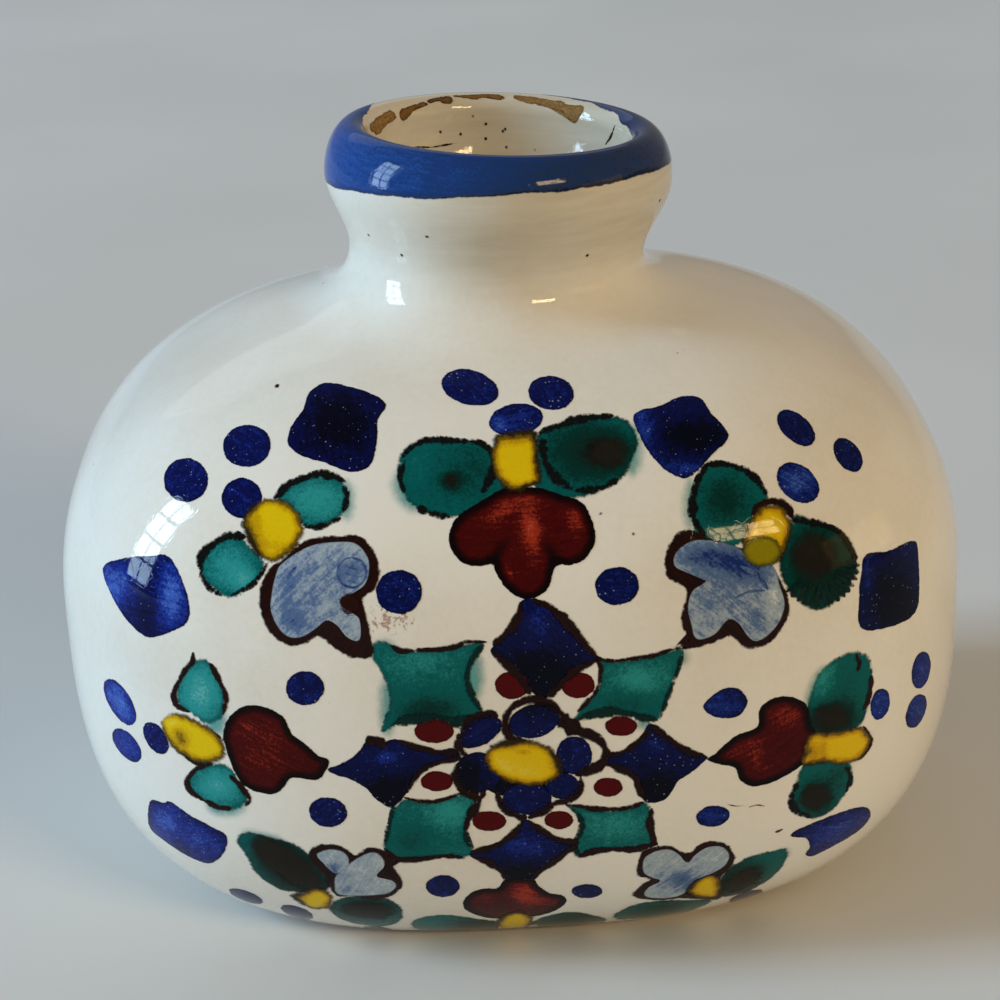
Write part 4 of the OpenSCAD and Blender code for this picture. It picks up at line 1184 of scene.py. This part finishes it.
def inner_coat():
    """Lining of the belly: the free inside wall with its flat floor, closed by a wall behind."""
    columns = ROUND[::2]
    inside = wall(columns, INSIDE_IN, FLOOR_T + GLAZE_T, BACK_ROWS)
    back = wall(columns, INSIDE_IN - COAT_BACK, FLOOR_T + GLAZE_T - COAT_BACK, BACK_ROWS)
    rows = np.concatenate([inside[::-1], back])
    half, count = len(inside), len(columns)
    first = np.arange(count)
    after = (first + 1) % count
    last = (len(rows) - 1) * count
    quads = grid_faces(len(rows), count, False, True).reshape(len(rows) - 1, count, 4)
    quads = np.delete(quads, half - 1, 0).reshape(-1, 4)
    rim = np.stack([after, last + after, last + first, first], -1)
    floors = np.stack([(half - 1) * count + first, half * count + first[::-1]])
    shape = Shape()
    shape.add(rows, [quads, rim, floors])
    return shape.piece("inner_glaze_coat", LINING_GLAZE, "white_glaze", "inner_glaze")


def clay_half(name, node, start):
    """One clay half: outer and inner wall over half a turn from the seam, joined over the top and
    closed by flat polygons under the foot, on the floor and along the luted seam."""
    columns = start + HALF_ROUND
    outer = wall(columns, GLAZE_T, 0.0, CLAY_ROWS)
    inner = wall(columns, LINING_IN, FLOOR_T, BACK_ROWS)
    m, k, n = len(outer), len(inner), len(columns)
    base = m * n
    outside = np.arange(m * n).reshape(m, n)
    inside = base + np.arange(k * n).reshape(k, n)
    top = np.stack([outside[-1, :-1], outside[-1, 1:], inside[-1, 1:], inside[-1, :-1]], -1)
    seam = np.concatenate([outside[::-1, 0], outside[:, -1], inside[::-1, -1], inside[:, 0]])
    walls = [grid_faces(m, n), base + grid_faces(k, n)[:, ::-1]]
    shape = Shape()
    shape.add(np.concatenate([outer.reshape(-1, 3), inner.reshape(-1, 3)]),
              walls + [top, outside[:1, ::-1], inside[:1], seam[None]])
    return shape.piece(name, BARE_CLAY, "clay", node)


# Rim band, in lengths along the collar's outline: its slanting lower edge, where it ends on the lip
# by bearing in degrees, and ripples of both edges as (height, count, phase)
RIM_LOW = 9.3
RIM_SLANT = 2.0
RIM_HIGH_AT = math.radians(318)
RIM_END = [
    (9, 17.2), (20, 17.2), (30, 16.5), (41, 16.3), (48, 15.6), (58, 15.7), (69, 15.1), (80, 14.0),
    (140, 14.0), (153, 15.9), (162, 16.2), (177, 16.5), (185, 17.6), (200, 18.3), (330, 18.3)]
RIM_LOW_RIPPLES = [(0.08, 7, 0), (0.05, 17, 1)]
RIM_END_RIPPLES = [(0.12, 9, 0), (0.08, 23, 0)]
RIM_COLUMNS = 400
RIM_ROWS = 44
RIM_MARGIN_SHARE = 0.03

# Its pigment: even load, more where it is darkest and along a narrow lower edge
RIM_LOAD = 0.62
RIM_DARK_AT = math.radians(345)
RIM_DARK_LOAD = 0.22
RIM_EDGE_LOAD = 0.2
RIM_EDGE_W = 0.4
RIM_SEED = 3.0


def ripples(bearing, waves):
    """Small waves round the lip: the sum of height * sin(count * bearing + phase)."""
    return sum(height * np.sin(count * bearing + phase) for height, count, phase in waves)


def rim_band():
    """Blue band brushed round the lip: from a wavering line near the widest ring, up over the crest
    to the mouth, but short of the crest at the back where the glaze was left bare."""
    bearing = np.linspace(0, 2 * math.pi, RIM_COLUMNS, endpoint=False)
    low = RIM_LOW + RIM_SLANT * np.cos(bearing - RIM_HIGH_AT) + ripples(bearing, RIM_LOW_RIPPLES)
    high = np.interp(np.degrees(bearing), *np.array(RIM_END).T, period=360)
    high = high + ripples(bearing, RIM_END_RIPPLES)
    share = np.linspace(-RIM_MARGIN_SHARE, 1 + RIM_MARGIN_SHARE, RIM_ROWS)[:, None]
    arc = mix(low, high, share)
    inset = np.minimum(arc - low, high - arc)
    edge = np.exp(-(((arc - low) / RIM_EDGE_W) ** 2))
    load = RIM_LOAD + RIM_DARK_LOAD * np.cos(bearing - RIM_DARK_AT) + RIM_EDGE_LOAD * edge
    brush = np.stack(np.broadcast_arrays(LIP_R * bearing, arc, RIM_SEED), -1)
    faces = grid_faces(RIM_ROWS, RIM_COLUMNS, wrap_columns=True)
    shape = Shape()
    shape.add(on_collar(bearing, arc, FILL_LIFT), [faces], load=load, inset=inset, brush=brush)
    return shape.piece("rim_band_brushed", RIM_BLUE, "rim_blue", "rim_band")


body_coat()
neck_coat()
inner_coat()
clay_half("front_clay", "front_shell", math.pi)
clay_half("back_clay", "back_shell", 0.0)
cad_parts["neck_collar"].material_slots[0].material = BARE_CLAY
rim_band()

# Painted rosette, by paint
BARE_COBALT = {"finish": COBALT, "slot": "cobalt"}
COBALT_PAINT = {"blots": COBALT_POOLS, **BARE_COBALT}
TEAL_PAINT = {"finish": TEAL, "slot": "teal", "blots": TEAL_POOLS, "radial": True}
YELLOW_PAINT = {"finish": YELLOW, "slot": "yellow", "blots": YELLOW_POOLS, "radial": True}
RED_PAINT = {"finish": OXBLOOD, "slot": "oxblood", "blots": OXBLOOD_POOLS}
RING_DOTS = [*ovals(RING_DOT_OVALS.values()), *RING_DOT_OUTLINES.values()]

painted("star_bed", ovals([STAR_BED_OVAL]), load=1.05, lift=BED_LIFT, **BARE_COBALT)
painted("eye_yellow", ovals([EYE_OVAL]), "eye", load=0.35, lift=TOP_LIFT, **YELLOW_PAINT)
painted("petal_touches", ovals(PETAL_OVALS.values()), "eye_petals", load=0.72, lift=LINE_LIFT,
        **COBALT_PAINT)
painted("diamond_touches", DIAMONDS.values(), "diamonds", load=0.78, lift=FILL_LIFT, **COBALT_PAINT)
painted("tile_touches", TILES.values(), "teal_tiles", load=0.46, lift=BED_LIFT, **TEAL_PAINT)
painted("red_dot_touches", ovals(RED_DOT_OVALS.values()), "red_dots", load=0.5, lift=FILL_LIFT,
        finish=RED_DOT, slot="oxblood")
painted("ring_dot_touches", RING_DOTS, "ring_dots", load=0.68, lift=FILL_LIFT, **COBALT_PAINT)
painted("cluster_dot_touches", ovals(CLUSTER_OVALS.values()), "dot_clusters", load=0.68, lift=FILL_LIFT,
        **COBALT_PAINT)
painted("red_flower_touches", RED_FLOWERS.values(), "red_flowers", load=0.55, lift=FILL_LIFT, **RED_PAINT)
painted("pale_flower_lines", PALE_FLOWER_BEDS.values(), load=0.7, lift=FILL_LIFT, finish=MANGANESE,
        slot="oxblood")
painted("calyx_touches", CALYXES.values(), "calyxes", load=0.35, lift=TOP_LIFT, **YELLOW_PAINT)
painted("olive_touch", ovals([OLIVE_OVAL]), load=0.5, lift=OVER_LIFT, finish=OLIVE, slot="yellow",
        radial=True)
painted("leaf_touches", LEAVES.values(), "leaves", load=0.5, lift=BED_LIFT, **TEAL_PAINT)
painted("dab_touches", DABS.values(), "cobalt_dabs", load=0.7, lift=FILL_LIFT, **COBALT_PAINT)


def pale_flowers():
    """Washed petals of the pale flowers, with a few scribbled strokes of the same blue over them."""
    shape = Shape()
    touches(shape, PALE_FLOWERS.values(), load=0.3, lift=LINE_LIFT, blots=PALE_POOLS)
    strokes(shape, PALE_SCRIBBLES, load=0.75, lift=TOP_LIFT)
    return shape.piece("pale_flower_touches", PALE_BLUE, "pale_blue", "pale_flowers")


def dark_lines():
    """Manganese lines that edge the touches, with a few dark spots and pencil marks."""
    shape = Shape()
    strokes(shape, STAR_LINES + TILE_LINES + LEAF_LINES, load=0.75, lift=LINE_LIFT)
    strokes(shape, PENCIL_LINES, load=0.1, lift=LINE_LIFT)
    touches(shape, ovals(DARK_SPOTS), load=0.6, lift=LINE_LIFT, spacing=1.0)
    return shape.piece("manganese_lines", MANGANESE, "oxblood")


def leaf_rays():
    """Short strokes that fan out over the dark leaf, as (width, route): centre + reach * way."""
    turns = np.radians(np.linspace(*RAY_BEARINGS, RAY_COUNT))
    reach = np.linspace(*RAY_REACH, 3)[:, None]
    return [(RAY_W, RAY_CENTRE + reach * way) for way in np.stack([np.cos(turns), np.sin(turns)], -1)]


def hairy_edges():
    """Edges of tiles and leaves where the copper burnt black in brush hairs."""
    shape = Shape()
    strokes(shape, TILE_HAIRS, load=0.4, lift=FILL_LIFT, crossed=True)
    strokes(shape, LEAF_HAIRS, load=0.7, lift=FILL_LIFT, crossed=True)
    strokes(shape, leaf_rays(), load=0.45, lift=FILL_LIFT)
    return shape.piece("hairy_edges", HAIRY, "teal")


def lip_chips():
    """Flakes off the lip that show the clay."""
    shape = Shape()
    for load, outline in CHIPS:
        touch(shape, lip_spots(outline), load, TOP_LIFT, margin=0.3, lay=on_lip, spacing=0.3)
    return shape.piece("lip_chips", FLAKED, "clay")


def lip_specks():
    """Dark specks, a crack and a thin dark line on the lip and inside it."""
    specks = [oval(*lip_spots(spot), LIP_SPECK_R, LIP_SPECK_R) for spot in LIP_SPECKS]
    crack_and_line = [(width, lip_spots(route)) for width, route in LIP_CRACK_AND_LINE]
    shape = Shape()
    touches(shape, specks, load=0.6, lift=BED_LIFT, margin=0.05, lay=on_lip, spacing=0.1)
    strokes(shape, crack_and_line, load=0.4, lift=BED_LIFT, lay=on_lip, spacing=0.2)
    return shape.piece("lip_specks", MANGANESE, "clay")


pale_flowers()
dark_lines()
hairy_edges()
painted("leaf_cores", ovals(LEAF_CORES), load=0.6, lift=FILL_LIFT, finish=BURNT, slot="teal",
        margin=WIDE_MARGIN, radial=True)
painted("teal_halos", ovals(HALO_OVALS), load=0.5, lift=HALO_LIFT, finish=TEAL_HALO, slot="teal",
        margin=WIDE_MARGIN)
lip_chips()
lip_specks()
painted("iron_smudge", ovals([SMUDGE_OVAL]), load=0.3, lift=HALO_LIFT, finish=SMUDGE, slot="clay")

# Stage, light and camera, in metres: a lamp has its place, size, watts, colour and panes
STAGE_HALF = 4.0
FLOOR_DEEP = (211, 210, 206)
FLOOR_PALE = (218, 217, 213)
HAZE_SCALE = 8.0
ROOM_COLOUR = (236, 232, 228)
ROOM_LEVEL = 0.3
CLIP_START = 0.01
PANE_BAR_SHARE = 0.13
LAMPS = {
    "window_left": ((-3.0, -0.24, 1.095), (0.8, 2.0), 112.0, (192, 226, 255), (2, 4)),
    "warm_right": ((0.92, -1.28, 0.845), (0.52, 0.2), 10.0, (255, 224, 168), (4, 2)),
    "low_right": ((2.8, -0.9, 0.5), (2.0, 0.8), 6.0, (255, 198, 104), (1, 1)),
    "ceiling": ((-0.2, 0.9, 0.7), (1.2, 0.5), 0.8, (250, 250, 255), (1, 1))}


def stage_floor():
    """Plain pale floor under the vase."""
    f = Finish("pale_floor")
    haze = f.noise(f.place(), HAZE_SCALE, 2.0)
    f.set(Base_Color=f.ramp(haze, {0.3: FLOOR_DEEP, 0.7: FLOOR_PALE}), Roughness=0.9)
    corners = STAGE_HALF * np.array([[-1, -1, 0], [1, -1, 0], [1, 1, 0], [-1, 1, 0]])
    mesh = bpy.data.meshes.new("floor")
    mesh.from_pydata(corners, [], [(0, 1, 2, 3)])
    mesh.materials.append(f.material)
    floor = bpy.data.objects.new("floor", mesh)
    bpy.context.scene.collection.objects.link(floor)


def put(name, data, right, up, back, place):
    """Adds a lamp or camera with its axes and place in metres."""
    view = np.eye(4)
    view[:3] = np.stack([right, up, back, place], 1)
    holder = bpy.data.objects.new(name, data)
    holder.matrix_world = Matrix(view.tolist())
    bpy.context.scene.collection.objects.link(holder)
    return holder


def soft_light(name, place, size, watts, colour, panes):
    """A rectangular lamp that faces the middle of the vase, in columns and rows of panes with narrow
    dark bars between them."""
    lamp = bpy.data.lights.new(name, "AREA")
    lamp.shape = "RECTANGLE"
    pitch = np.array(size) / panes
    lamp.size, lamp.size_y = (pitch * (1 - PANE_BAR_SHARE)).tolist()
    lamp.energy = watts / (panes[0] * panes[1])
    lamp.color = linear(colour)[:3]
    back = np.array(place) - [0, 0, BELLY_Z * MM]
    back = back / np.linalg.norm(back)
    side = np.cross([0, 0, 1.0], back)
    side /= np.linalg.norm(side)
    rise = np.cross(back, side)
    for i, j in np.ndindex(*panes):
        across, up = pitch * ([i, j] - (np.array(panes) - 1) / 2)
        put(f"{name}_{i}_{j}", lamp, side, rise, back, place + across * side + up * rise)


def photo_camera():
    """The camera that the photograph was fitted with."""
    right, up, forward = camera_axes()
    lens = bpy.data.cameras.new("camera")
    lens.lens = FOCAL / IMAGE * SENSOR
    lens.sensor_width = SENSOR
    lens.clip_start = CLIP_START
    return put("camera", lens, right, up, -forward, EYE * MM)


def room():
    """Even light from all round."""
    world = bpy.data.worlds.new("soft_room")
    world.use_nodes = True
    inputs = world.node_tree.nodes["Background"].inputs
    inputs["Color"].default_value = linear(ROOM_COLOUR)
    inputs["Strength"].default_value = ROOM_LEVEL
    return world


stage_floor()
for lamp_name, lamp in LAMPS.items():
    soft_light(lamp_name, *lamp)
bpy.context.scene.camera = photo_camera()
bpy.context.scene.world = room()
bpy.context.scene.view_settings.view_transform = "Standard"
